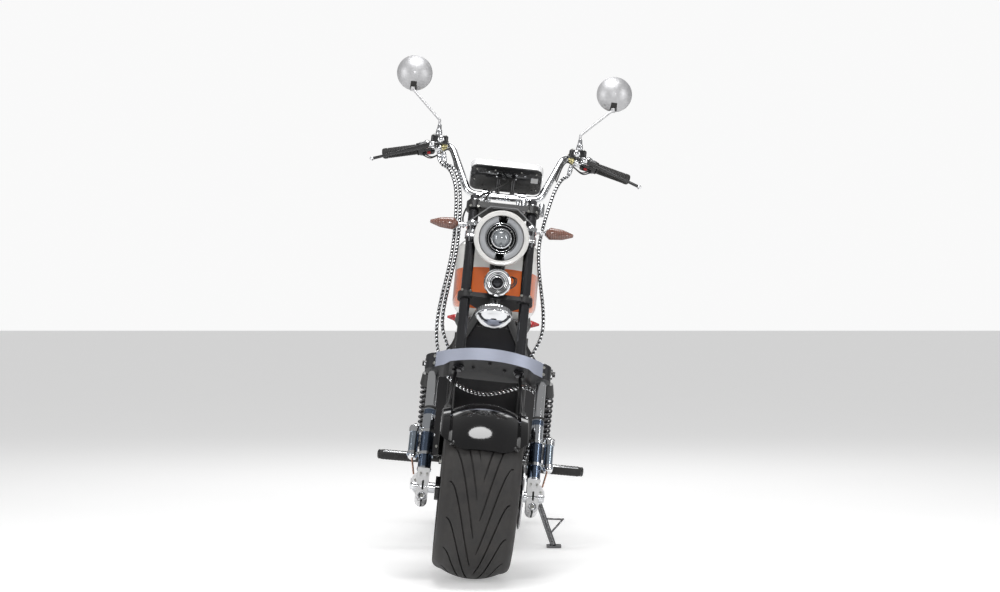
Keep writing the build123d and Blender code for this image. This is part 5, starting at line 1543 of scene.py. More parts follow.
@dataclass
class Spotlight:
    """A small round lamp on the lower yoke, with stepped rings round a dark middle."""

    centre: Vector = field(default_factory=lambda: on_axis(0.622, 0.100))

    def build(self) -> None:
        """Makes the lamp's pieces."""
        place = frame_at(self.centre, Vector((0, 1, 0)))
        shell = [
            (0, 0.002), (0.0195, 0.002), (0.0305, -0.020), (0.0345, -0.021), (0.0385, -0.010),
            (0.0375, -0.002), (0.0360, 0.004), (0.0325, 0.014), (0.0275, 0.024), (0.0215, 0.0295), (0, 0.030)
        ]
        body = Shape(BARS).lathe(place, shell, 64)
        foot = on_axis(0.5983, 0.062)
        body.rod(foot, foot + UP_THE_AXIS * 0.018, 0.0078)
        add_piece(
            "spotlight_shell", body, GLOSS_PLASTIC, Body.STEERING, replaces=("spotlight",)
        )
        bezel = [
            (0.0305, -0.0195), (0.0315, -0.0235), (0.0345, -0.0245), (0.0375, -0.0230), (0.0395, -0.0180),
            (0.0400, -0.0135), (0.0392, -0.0085), (0.0375, -0.0075), (0.0365, -0.0180)
        ]
        add_piece(
            "spotlight_bezel", Shape(BARS).lathe(place, bezel, 72, loop=True), CHROME, Body.STEERING
        )
        for radius, low in ((0.0295, -0.0170), (0.0250, -0.0085)):
            ring = [
                (radius, low + 0.004), (radius - 0.0022, low + 0.005), (radius - 0.0030, low),
                (radius - 0.0005, low - 0.0012)
            ]
            add_piece(
                f"spotlight_ring_{round(radius * 1e4)}", Shape(BARS).lathe(place, ring, 64, loop=True),
                REFLECTOR, Body.STEERING, 0.0002
            )
        eye = [
            (0.0, -0.0075), (0.0075, -0.0068), (0.0125, -0.004), (0.0145, 0.001), (0.0145, 0.0025),
            (0, 0.0025)
        ]
        add_piece("spotlight_eye", Shape(BARS).lathe(place, eye, 48), DARK_BOWL, Body.STEERING)
        collar = [(0.0195, 0.0022), (0.0195, -0.0035), (0.0165, -0.0042), (0.0155, 0.0022)]
        add_piece(
            "spotlight_collar", Shape(BARS).lathe(place, collar, 48, loop=True), SATIN_CHROME, Body.STEERING,
            0.0003
        )
        for index, (dx, dz) in enumerate(((0, 0), (4, 3), (-3, 5))):
            run = smooth_path([self.centre + mm(10, 26, -6 + dz), self.centre + mm(34 + dx, 30, -14 + dz),
                               self.centre + mm(50 + dx, 46, -4 + dz), self.centre + mm(52 + dx, 62, 14 + dz),
                               self.centre + mm(40, 78 + dz, 22)])
            add_piece(
                f"spotlight_wire_{index}", Shape(BARS).sweep(run, 0.0017, 8), RUBBER, Body.STEERING,
            )


@dataclass
class Horn:
    """A chromed disc horn hung face down under the lower yoke, its rim fluted."""

    low: float = 0.581
    ahead: float = 0.058

    def build(self) -> None:
        """Makes the horn's pieces in the fork frame."""
        place = Matrix.Translation((0, -self.ahead, self.low - 0.022))
        back = [
            (0, 0.0245), (0.0138, 0.0245), (0.0138, -0.004), (0.020, -0.008), (0.046, -0.009),
            (0.049, -0.0105), (0.049, -0.016), (0, -0.016)
        ]
        add_piece(
            "horn_back", Shape(FORK).lathe(place, back, 56), SATIN_CHROME, Body.STEERING, 0.0006,
            replaces=("horn",)
        )
        flutes = 36
        outline = []
        for k in range(flutes * 6):
            angle = tau * k / (flutes * 6)
            radius = 0.0528 + 0.0012 * abs(sin(angle * flutes / 2)) ** 0.7
            outline.append((radius * cos(angle), radius * sin(angle)))
        rim = Shape(FORK).prism(place, outline, -0.0275, -0.012, 0.985)
        add_piece("horn_rim", rim, CHROME, Body.STEERING, 0.0007)
        ball = (0.046**2 + 0.028**2) / (2 * 0.028)
        reach = asin(0.046 / ball)
        dome = [(ball * sin(reach * k / 14), -0.062 + ball * (1 - cos(reach * k / 14))) for k in range(15)]
        lip = [(0.0475, -0.0325), (0.0495, -0.0310), (0.0505, -0.0275), (0.0505, -0.026), (0, -0.026)]
        add_piece("horn_dome", Shape(FORK).lathe(place, [*dome, *lip], 72), CHROME, Body.STEERING)
        for index, (x, y) in enumerate(((-0.030, 0.012), (0.030, 0.012))):
            tab = place @ Matrix.Translation((x, y, -0.010))
            add_piece(
                f"horn_terminal_{index}",
                Shape(FORK).block((-0.0032, -0.0005, 0), (0.0032, 0.0005, 0.012), tab), BRASS_BAND,
                Body.STEERING, 0.0002
            )


@dataclass
class FrontIndicators:
    """Leaf-shaped indicators on chromed stems that reach out past the upper tubes."""

    height: float = 0.825

    def leaf(self, centre: Vector, side: int, start: float, push: float, thin: float) -> Shape:
        """A leaf-shaped solid pointing outward.

        Args:
            centre: the middle of the clamp's axis, at the leaf's height.
            side: which side of the machine.
            start: where the leaf begins, from the middle plane.
            push: how far its middle layer sits behind the stem.
            thin: its thickness.

        Returns:
            The shape.
        """
        shape = Shape(BARS)
        rows = []
        for out, tall, depth in (
            (0.0, 0.006, 0.5), (0.002, 0.008, 0.7), (0.0125, 0.0172, 0.96), (0.0165, 0.018, 1.0),
            (0.049, 0.0152, 0.92), (0.054, 0.0142, 0.86), (0.079, 0.0058, 0.5), (0.082, 0.0040, 0.35)
        ):
            rows.append([
                shape.point((side * (start + out), centre.y + push + thin * depth * sin(tau * k / 20),
                             centre.z + tall * cos(tau * k / 20)))
                for k in range(20)
            ])
        shape.loft(rows)
        return shape

    def build(self) -> None:
        """Makes both indicators."""
        centre = on_axis(self.height, 0.055)
        for index, side in enumerate(SIDES):
            name = side_name(side)
            replaces = ("front_indicators",) if index == 0 else ()
            collar = frame_at(on_axis(self.height - 0.008, 0.055) + Vector((side * 0.086, 0, 0)), UP_THE_AXIS)
            band = [
                (0.0153, 0), (0.0153, 0.016), (0.0186, 0.016), (0.019, 0.0145), (0.019, 0.0015), (0.0186, 0)
            ]
            add_piece(
                f"indicator_clamp_{name}", Shape(BARS).lathe(collar, band, 40, loop=True), CHROME,
                Body.STEERING, replaces=replaces
            )
            stem = Shape(BARS)
            stem.rod((side * 0.1035, centre.y, centre.z), (side * 0.128, centre.y, centre.z), 0.0055)
            hub = frame_at(Vector((side * 0.112, centre.y, centre.z)), Vector((side, 0, 0)))
            stem.lathe(
                hub, [(0, 0), (0.0072, 0), (0.0078, 0.001), (0.0078, 0.006), (0.0072, 0.007), (0, 0.007)], 24
            )
            add_piece(f"indicator_stem_{name}", stem, CHROME, Body.STEERING, 0.0003)
            add_piece(
                f"indicator_back_{name}", self.leaf(centre, side, 0.1275, 0.003, 0.0125), CHROME,
                Body.STEERING
            )
            lens = self.leaf(centre, side, 0.1295, -0.0045, 0.0105)
            add_piece(f"indicator_lens_{name}", lens, AMBER, Body.STEERING)


# ------------------------------------------------------------------ springs
@dataclass
class CoilSprings:
    """The two wound springs over the rear dampers."""

    top: Vector = field(default_factory=lambda: mm(200, 1165, 540))
    bottom: Vector = field(default_factory=lambda: mm(200, 1262, 262))
    turns: float = 9.3
    steps_per_turn: int = 28
    wire: float = 0.0042
    radius: float = 0.0203
    lower_seat: float = 0.0475
    upper_seat: float = 0.0723

    def build(self) -> None:
        """Winds both springs between their seats."""
        run = self.top - self.bottom
        along = run.normalized()
        low, high = self.lower_seat + self.wire, run.length - self.upper_seat - self.wire
        for index, side in enumerate(SIDES):
            base = mirrored(self.bottom, side)
            place = frame_at(base, Vector((0, along.y, along.z)), Vector((1, 0, 0)))
            steps = round(self.turns * self.steps_per_turn)
            path = []
            for k in range(steps + 1):
                share = k / steps
                height = low + (high - low) * share
                angle = tau * self.turns * share
                path.append(place @ Vector((self.radius * cos(angle), self.radius * sin(angle), height)))
            name = f"coil_spring_{side_name(side)}"
            replaces = ("rear_springs",) if index == 0 else ()
            add_piece(
                name, Shape(BIKE).sweep(path, self.wire, 12), DARK_CHROME, Body.CHASSIS,
                replaces=replaces
            )
            for number, where in enumerate((low - self.wire, high)):
                ring = [
                    (0.0156, where), (0.0156, where + self.wire), (0.0243, where + self.wire), (0.0243, where)
                ]
                add_piece(
                    f"spring_seat_{name}_{number}", Shape(BIKE).lathe(place, ring, 40, loop=True),
                    BLACK_SATIN, Body.CHASSIS, 0.0006
                )


# ------------------------------------------------------------------ bar, controls, mirrors and meter
BAR_END = Vector((0.372, 0.5915, 1.1817))
BAR_RISE = Vector((0.172, 0.535, 1.226))
GRIP_RUN = (BAR_END - BAR_RISE).normalized()
GRIP_LENGTH = 0.108


def along_grip(distance: float, side: int) -> Vector:
    """A point on the grip's axis, measured inward from the bar end."""
    return mirrored(BAR_END - GRIP_RUN * distance, side)


def grip_frame(distance: float, side: int) -> Matrix:
    """A frame on the grip's axis, its Z running out to the bar end."""
    return frame_at(along_grip(distance, side), mirrored(GRIP_RUN, side))


@dataclass
class Grips:
    """Ribbed rubber grips with an inner flange and a plain end."""

    ribs: int = 17

    def build(self) -> None:
        """Makes both grips."""
        for index, side in enumerate(SIDES):
            profile = [(0.0113, 0.0), (0.0163, 0.0), (0.0185, 0.0012), (0.0185, 0.0042), (0.0150, 0.0056)]
            start, stop = 0.0085, 0.097
            for k in range(self.ribs):
                low = start + (stop - start) * k / self.ribs
                wide = (stop - start) / self.ribs
                profile += [(0.0144, low), (0.0157, low + wide * 0.22), (0.0160, low + wide * 0.45),
                            (0.0157, low + wide * 0.68), (0.0144, low + wide * 0.86)]
            profile += [
                (0.0144, 0.0985), (0.0162, 0.1000), (0.0162, 0.1085), (0.0148, 0.1125), (0.0, 0.1132),
                (0.0, 0.1085), (0.0113, 0.1085)
            ]
            name = "grip_right" if side < 0 else "grip_left"
            add_piece(name, Shape(BARS).lathe(grip_frame(GRIP_LENGTH, side), profile, 44, loop=True), RUBBER,
                      Body.STEERING, replaces=("grips",) if index == 0 else ())


@dataclass
class Controls:
    """Chromed perches, switch housings with their buttons, hose glands and small wires."""

    def build(self) -> None:
        """Makes both sides."""
        for index, side in enumerate(SIDES):
            self.side(side, ("control_clusters",) if index == 0 else ())

    def side(self, side: int, replaces: Sequence[str]) -> None:
        """Makes one side's pieces.

        Args:
            side: which side of the machine.
            replaces: CAD nodes that the housing stands for.
        """
        name = side_name(side)
        housing = Shape(BARS)
        place = grip_frame(GRIP_LENGTH + 0.046, side)
        body = [
            (0.0113, 0.0), (0.0188, 0.0), (0.0207, 0.0022), (0.0210, 0.0205), (0.0200, 0.0210),
            (0.0200, 0.0222), (0.0210, 0.0227), (0.0207, 0.0412), (0.0190, 0.0438), (0.0113, 0.0438)
        ]
        housing.lathe(place, body, 48, loop=True)
        add_piece(f"switch_housing_{name}", housing, GLOSS_PLASTIC, Body.STEERING, 0.0004,
                  replaces=replaces)
        collar = [
            (0.0113, 0.0), (0.0158, 0.0), (0.0170, 0.0014), (0.0170, 0.0226), (0.0158, 0.024), (0.0113, 0.024)
        ]
        add_piece(
            f"perch_clamp_{name}",
            Shape(BARS).lathe(grip_frame(GRIP_LENGTH + 0.074, side), collar, 44, loop=True), CHROME,
            Body.STEERING, 0.0004
        )
        foot = along_grip(GRIP_LENGTH + 0.064, side) + mm(0, -24, 6)
        block = Shape(BARS)
        outline = rounded_rectangle(0.052, 0.032, 0.009)
        block.prism(Matrix.Translation(foot), outline, 0.0, 0.022)
        block.prism(
            Matrix.Translation(foot + mm(0, 0, 22)), rounded_rectangle(0.052, 0.032, 0.009), 0.0, 0.004, 0.92
        )
        add_piece(f"perch_{name}", block, GLOSS_PLASTIC, Body.STEERING, 0.0014)
        dome = [(0.0, 0.0), (0.0108, 0.0), (0.0108, 0.003), (0.0098, 0.0052), (0.0062, 0.0072), (0.0, 0.0078)]
        boss = frame_at(foot + Vector((side * -0.004, -0.0158, 0.014)), Vector((0, -1, 0)))
        add_piece(f"perch_boss_{name}", Shape(BARS).lathe(boss, dome, 32), CHROME, Body.STEERING)
        cover = frame_at(along_grip(GRIP_LENGTH + 0.026, side) + mm(0, -20, 9), Vector((0, -1, 0.25)))
        add_piece(
            f"switch_cover_{name}",
            Shape(BARS).lathe(
                cover, [(0, 0), (0.0135, 0), (0.0135, 0.006), (0.0115, 0.010), (0.0060, 0.0125), (0, 0.013)],
                36
            ), CHROME, Body.STEERING
        )
        lip = frame_at(along_grip(GRIP_LENGTH + 0.012, side) + mm(0, -16, 10), Vector((side * 0.4, -1, 0.5)))
        add_piece(
            f"switch_lip_{name}",
            Shape(BARS).prism(lip, rounded_rectangle(0.018, 0.012, 0.004), 0.0, 0.008, 0.85), SATIN_CHROME,
            Body.STEERING, 0.0009
        )
        for number, (back, low, wide, finish) in enumerate((
            (0.034, -16, 0.0105, RED_PLASTIC), (0.018, -19, 0.0085, PLASTIC), (0.049, -13, 0.0075, PLASTIC),
        )):
            spot = frame_at(along_grip(GRIP_LENGTH + back, side) + mm(0, -15, low), Vector((0, -0.8, -0.6)))
            button = Shape(BARS).prism(spot, rounded_rectangle(wide, wide * 0.8, 0.002), -0.004, 0.0032, 0.88)
            add_piece(
                f"switch_button_{name}_{number}", button, finish, Body.STEERING, 0.0007
            )
        for number, (dx, dz) in enumerate(((0.0, 0.0), (0.004, -0.004))):
            loop = smooth_path(
                [
                    along_grip(GRIP_LENGTH + 0.020, side) + mm(0, -16, -18) + Vector((side * dx, 0, dz)),
                    along_grip(GRIP_LENGTH + 0.046, side) + mm(0, -26, -31) + Vector((side * dx, 0, dz)),
                    along_grip(GRIP_LENGTH + 0.074, side) + mm(0, -28, -22) + Vector((side * dx, 0, dz)),
                    along_grip(GRIP_LENGTH + 0.098, side) + mm(0, -24, -12) + Vector((side * dx, 0, dz)),
                    Vector((side * (0.163 + dx), 0.500, 1.196 + dz)),
                    Vector((side * (0.148 + dx), 0.478, 1.148 + dz))
                ], 6
            )
            add_piece(
                f"switch_wire_{name}_{number}", Shape(BARS).sweep(loop, 0.0019, 8), RUBBER, Body.STEERING,
            )
        inner = grip_frame(GRIP_LENGTH + 0.094, side)
        clip = [
            (0.0113, 0.0), (0.0138, 0.0), (0.0148, 0.001), (0.0148, 0.006), (0.0136, 0.007), (0.0136, 0.0115),
            (0.0148, 0.0125), (0.0148, 0.0175), (0.0138, 0.0185), (0.0113, 0.0185)
        ]
        add_piece(
            f"bar_clip_{name}", Shape(BARS).lathe(inner, clip, 36, loop=True), BRASS_BAND, Body.STEERING,
            0.0002
        )
        self.glands(side, name)
        marks = [
            (foot + mm(x, 0, 26) + Vector((0, y, 0)), (0, 0, 1)) for x in (-17, 17) for y in (-0.008, 0.008)
        ]
        marks += [(along_grip(GRIP_LENGTH + d, side) + mm(0, -20.6, 0), (0, -1, 0)) for d in (0.008, 0.040)]
        Screws(
            f"control_screws_{name}", Head.SOCKET, 0.0052, 0.0028, Body.STEERING, ZINC, BARS, marks
        ).build("chrome")

    def glands(self, side: int, name: str) -> None:
        """Makes the glands that the hoses leave the perch from."""
        for number, hose in enumerate(HOSES):
            start = hose.route[0]
            if (start.x < 0) != (side < 0):
                continue
            along = (start - hose.route[1]).normalized()
            gland = [(0.0, -0.001), (0.0064, -0.001), (0.0070, 0.0005), (0.0070, 0.006), (0.0058, 0.007),
                     (0.0058, 0.013), (0.0, 0.013)]
            add_piece(
                f"hose_gland_{name}_{number}", Shape(BARS).lathe(frame_at(start, along), gland, 18),
                SATIN_CHROME, Body.STEERING, 0.0004
            )


@dataclass
class Levers:
    """Blade levers with a ball at the tip, hinged in front of the perches."""

    def build(self) -> None:
        """Makes both levers."""
        for index, side in enumerate(SIDES):
            name = "lever_right" if side < 0 else "lever_left"
            pivot = along_grip(GRIP_LENGTH + 0.058, side) + Vector((side * 0.016, -0.052, 0.002))
            tip = Vector((side * 0.408, BAR_END.y - 0.044, BAR_END.z - 0.022))
            run = [pivot + (tip - pivot) * t + Vector((0, -0.0035 * sin(pi * t) * (1 - t), 0)) for t in
                   [k / 24 for k in range(25)]]
            outline = [(0.0062 * cos(tau * k / 20), 0.0078 * sin(tau * k / 20)) for k in range(20)]
            blade = Shape(BARS).sweep(
                run, outline, near=Vector((0, 0, 1)),
                grow=lambda t: 1.05 - 0.5 * min(1, t * 1.6) + 0.12 * max(0, t - 0.75)
            )
            add_piece(name, blade, BLACK_SATIN, Body.STEERING,
                      replaces=("brake_levers",) if index == 0 else ())
            add_piece(f"{name}_ball", Shape(BARS).ball(tip, 0.0066, 24), CHROME, Body.STEERING)
            hub = Shape(BARS).lathe(
                frame_at(pivot - mm(0, 0, 7), Vector((0, 0, 1))),
                [(0, 0), (0.0082, 0), (0.009, 0.001), (0.009, 0.013), (0.0082, 0.014), (0, 0.014)], 32
            )
            add_piece(f"{name}_hub", hub, CHROME, Body.STEERING)
            arm = Shape(BARS)
            root = along_grip(GRIP_LENGTH + 0.064, side) + mm(0, -24, 18)
            for dz in (-0.0098, 0.0076):
                plate = [pivot + Vector((0, -0.004, dz)), pivot + Vector((side * -0.010, 0.012, dz)),
                         root + Vector((0, -0.010, dz - 0.012))]
                arm.sweep(plate, [(-0.008, -0.0011), (0.008, -0.0011), (0.008, 0.0011), (-0.008, 0.0011)],
                          near=Vector((0, 0, 1)))
            add_piece(f"{name}_bracket", arm, CHROME, Body.STEERING, 0.0005)


@dataclass
class Mirrors:
    """Silvered glass in front of each shell, and a dark strip of painted shade for the slot behind that the
    stem's ball sits in.
    """

    centre: Vector = field(default_factory=lambda: mm(306, 556, 1434))
    radius: float = 0.0535
    stem_along: float = 0.172
    stem_offset: Vector = field(default_factory=lambda: mm(4, -18, 32.3))

    def build(self) -> None:
        """Makes both sides' pieces."""
        for side in SIDES:
            name = side_name(side)
            middle_of = mirrored(self.centre, side)
            back = frame_at(middle_of, Vector((0, 1, 0)))
            glass = [(0, 0.0162), (self.radius - 0.0034, 0.0162), (self.radius - 0.0036, 0.0172), (0, 0.0176)]
            add_piece(
                f"mirror_glass_{name}", Shape(BARS).lathe(back, glass, 72), SILVERED, Body.STEERING
            )
            rim = [
                (self.radius - 0.0032, 0.0158), (self.radius - 0.0002, 0.0158),
                (self.radius - 0.0002, 0.0180), (self.radius - 0.0024, 0.0186), (self.radius - 0.0034, 0.0178)
            ]
            add_piece(
                f"mirror_rim_{name}", Shape(BARS).lathe(back, rim, 72, loop=True), PLASTIC, Body.STEERING,
            )
            ball = (self.radius**2 + 0.026**2) / (2 * 0.026)
            # A dark strip on the shell's back: painted shade of the slot that the stem's ball sits in.
            slot = Shape(BARS)
            rows = []
            for k in range(9):
                drop = -0.0275 - 0.0235 * k / 8
                half = 0.0088 + 0.0016 * k / 8
                lift = -0.014 + ball - sqrt(ball**2 - drop**2) - 0.0006
                rows.append([slot.point(middle_of + Vector((x, lift + y, drop)))
                             for x, y in ((-half, 0), (half, 0), (half, 0.004), (-half, 0.004))])
            slot.loft(rows)
            add_piece(f"mirror_slot_{name}", slot, RUBBER, Body.STEERING)
            base = mirrored(along_grip(self.stem_along, 1) + self.stem_offset, side)
            boot = [
                (0.0095, 0.0), (0.0102, 0.002), (0.0098, 0.010), (0.0088, 0.012), (0.0088, 0.017),
                (0.0070, 0.019), (0.0060, 0.031), (0.0048, 0.0335), (0.0, 0.034), (0, 0)
            ]
            add_piece(
                f"mirror_boot_{name}", Shape(BARS).lathe(Matrix.Translation(base), boot, 32), SATIN_CHROME,
                Body.STEERING, 0.0003
            )


@dataclass
class Meter:
    """The instrument pod: dark case, bright rim round its face, and the pins and wires of its back."""

    centre: Vector = field(default_factory=lambda: mm(0, 468, 1142))
    tilt: float = radians(40)

    def build(self) -> None:
        """Makes the pod's pieces."""
        place = Matrix.Translation(self.centre) @ Matrix.Rotation(-self.tilt, 4, "X")
        case = Shape(BARS)
        layers = ((-0.013, 0.93), (-0.0115, 0.975), (-0.008, 0.99), (0.0, 1.0))
        outline = rounded_rectangle(0.216, 0.110, 0.022, 8)
        rows = [[case.point(place @ Vector((x * k, y * k, z))) for x, y in outline] for z, k in layers]
        case.loft(rows)
        for side in SIDES:
            case.rod((side * 0.022, 0.444, 1.0913), (side * 0.022, 0.444, 1.132), 0.0068)
        add_piece("meter_case", case, GLOSS_PLASTIC, Body.STEERING, replaces=("meter",))
        band = Shape(BARS)
        rows = [
            [band.point(place @ Vector((x * k, y * k, z))) for x, y in outline]
            for z, k in (
                (-0.0095, 0.97), (-0.0095, 0.995), (-0.0080, 1.006), (0.0112, 1.003), (0.0130, 0.985),
                (0.0128, 0.95)
            )
        ]
        band.skin(rows, loop=True)
        add_piece("meter_rim", band, BRIGHT_BAND, Body.STEERING)
        face = Shape(BARS).prism(place, rounded_rectangle(0.204, 0.103, 0.020, 8), 0.0005, 0.0118)
        add_piece("meter_face", face, SCREEN, Body.STEERING, 0.0006)
        back = place @ Matrix.Translation((0, 0, -0.013)) @ Matrix.Rotation(pi, 4, "X")
        marks = [
            mark_on(back, x, y)
            for x, y in (
                (-0.089, 0.039), (0.089, 0.039), (-0.094, -0.006), (0.094, -0.030), (-0.034, 0.040),
                (0.044, 0.040)
            )
        ]
        Screws("meter_screws", Head.SOCKET, 0.0046, 0.0022, Body.STEERING, ZINC, BARS, marks).build("chrome")
        pins = [mark_on(back, x, y) for x, y in (
            (-0.052, 0.030), (-0.026, 0.028), (-0.028, 0.012), (0.030, 0.026), (0.056, 0.026), (0.030, 0.009),
        )]
        Screws(
            "meter_pins", Head.BUTTON, 0.0062, 0.0026, Body.STEERING, SATIN_CHROME, BARS, pins
        ).build("chrome")
        for number, (x, y, wide) in enumerate(((-0.036, 0.0365, 0.046), (0.044, 0.0345, 0.044))):
            rail = Shape(BARS).block(
                (x - wide / 2, y - 0.0012, -0.001), (x + wide / 2, y + 0.0012, 0.0024), back
            )
            add_piece(f"meter_rail_{number}", rail, PLASTIC, Body.STEERING, 0.0004)
        label = Shape(BARS).prism(
            back @ Matrix.Translation((0.085, 0.010, 0)), rounded_rectangle(0.021, 0.021, 0.0015), -0.0005,
            0.0004
        )
        add_piece("meter_plain_square", label, BLANK_LABEL, Body.STEERING)
        ribs = [mark_on(back, x, -0.034) for x in (-0.07, -0.02, 0.03, 0.08)]
        Screws(
            "meter_bosses", Head.PIN, 0.0058, 0.0020, Body.STEERING, PLASTIC, BARS, ribs
        ).build("plastic_black")
        gland = back @ Matrix.Translation((0.004, 0.004, 0))
        outlet = [
            (0, -0.001), (0.0058, -0.001), (0.0058, 0.005), (0.0042, 0.006), (0.0038, 0.011), (0, 0.011)
        ]
        add_piece(
            "meter_gland", Shape(BARS).lathe(gland, outlet, 24), RUBBER, Body.STEERING, 0.0003
        )
        exit_at = gland @ Vector((0, 0, 0.008))
        run = smooth_path(
            [
                exit_at, exit_at + mm(-6, -9, -8), mm(-30, 424, 1100), mm(-62, 416, 1082), mm(-84, 412, 1062),
                mm(-104, 414, 1044), mm(-116, 410, 1010), mm(-112, 392, 976)
            ]
        )
        add_piece("meter_cable", Shape(BARS).sweep(run, 0.0026, 10), RUBBER, Body.STEERING)
        for number, shift in enumerate((0, 5)):
            run = smooth_path([mm(-30, 428, 1102 + shift), mm(-50, 418, 1078 + shift), mm(-58, 424, 1062),
                               mm(-72 - shift, 424, 1050), mm(-92, 420, 1036 - shift)])
            add_piece(
                f"meter_wire_{number}", Shape(BARS).sweep(run, 0.0016, 8), RUBBER, Body.STEERING,
            )


# ------------------------------------------------------------------ places on the frame's own faces
SKINS: dict[str, BVHTree] = {}


def on_face(node: str, start: Vector, toward: Vector) -> tuple[Vector, Vector] | None:
    """Where a line first meets a node of the frame.

    Args:
        node: the node's name.
        start: a point outside it, in the row frame.
        toward: the line's direction.

    Returns:
        The meeting point and the way the surface faces there, or None where the line misses.
    """
    if node not in SKINS:
        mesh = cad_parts[node].data
        SKINS[node] = BVHTree.FromPolygons(
            [v.co for v in mesh.vertices], [tuple(f.vertices) for f in mesh.polygons]
        )
    spot, normal, _, _ = SKINS[node].ray_cast(start, toward.normalized())
    if spot is None:
        log.warning("no face of %s there", node)
        return None
    return spot, normal if normal.dot(toward) < 0 else -normal


@dataclass
class FaceScrews:
    """Screws set where lines of one direction meet a node's faces."""

    name: str
    node: str
    head: Head
    across: float
    tall: float
    body: Body
    finish: Finish
    place: Matrix
    toward: Point
    starts: Sequence[Point]
    slot: str = "chrome"

    def build(self) -> None:
        """Finds the places and sets the screws."""
        turn = self.place.to_3x3() @ Vector(self.toward)
        found = [on_face(self.node, self.place @ Vector(start), turn) for start in self.starts]
        marks = [spot for spot in found if spot is not None]
        if marks:
            Screws(self.name, self.head, self.across, self.tall, self.body, self.finish, Matrix.Identity(4),
                   marks).build(self.slot)


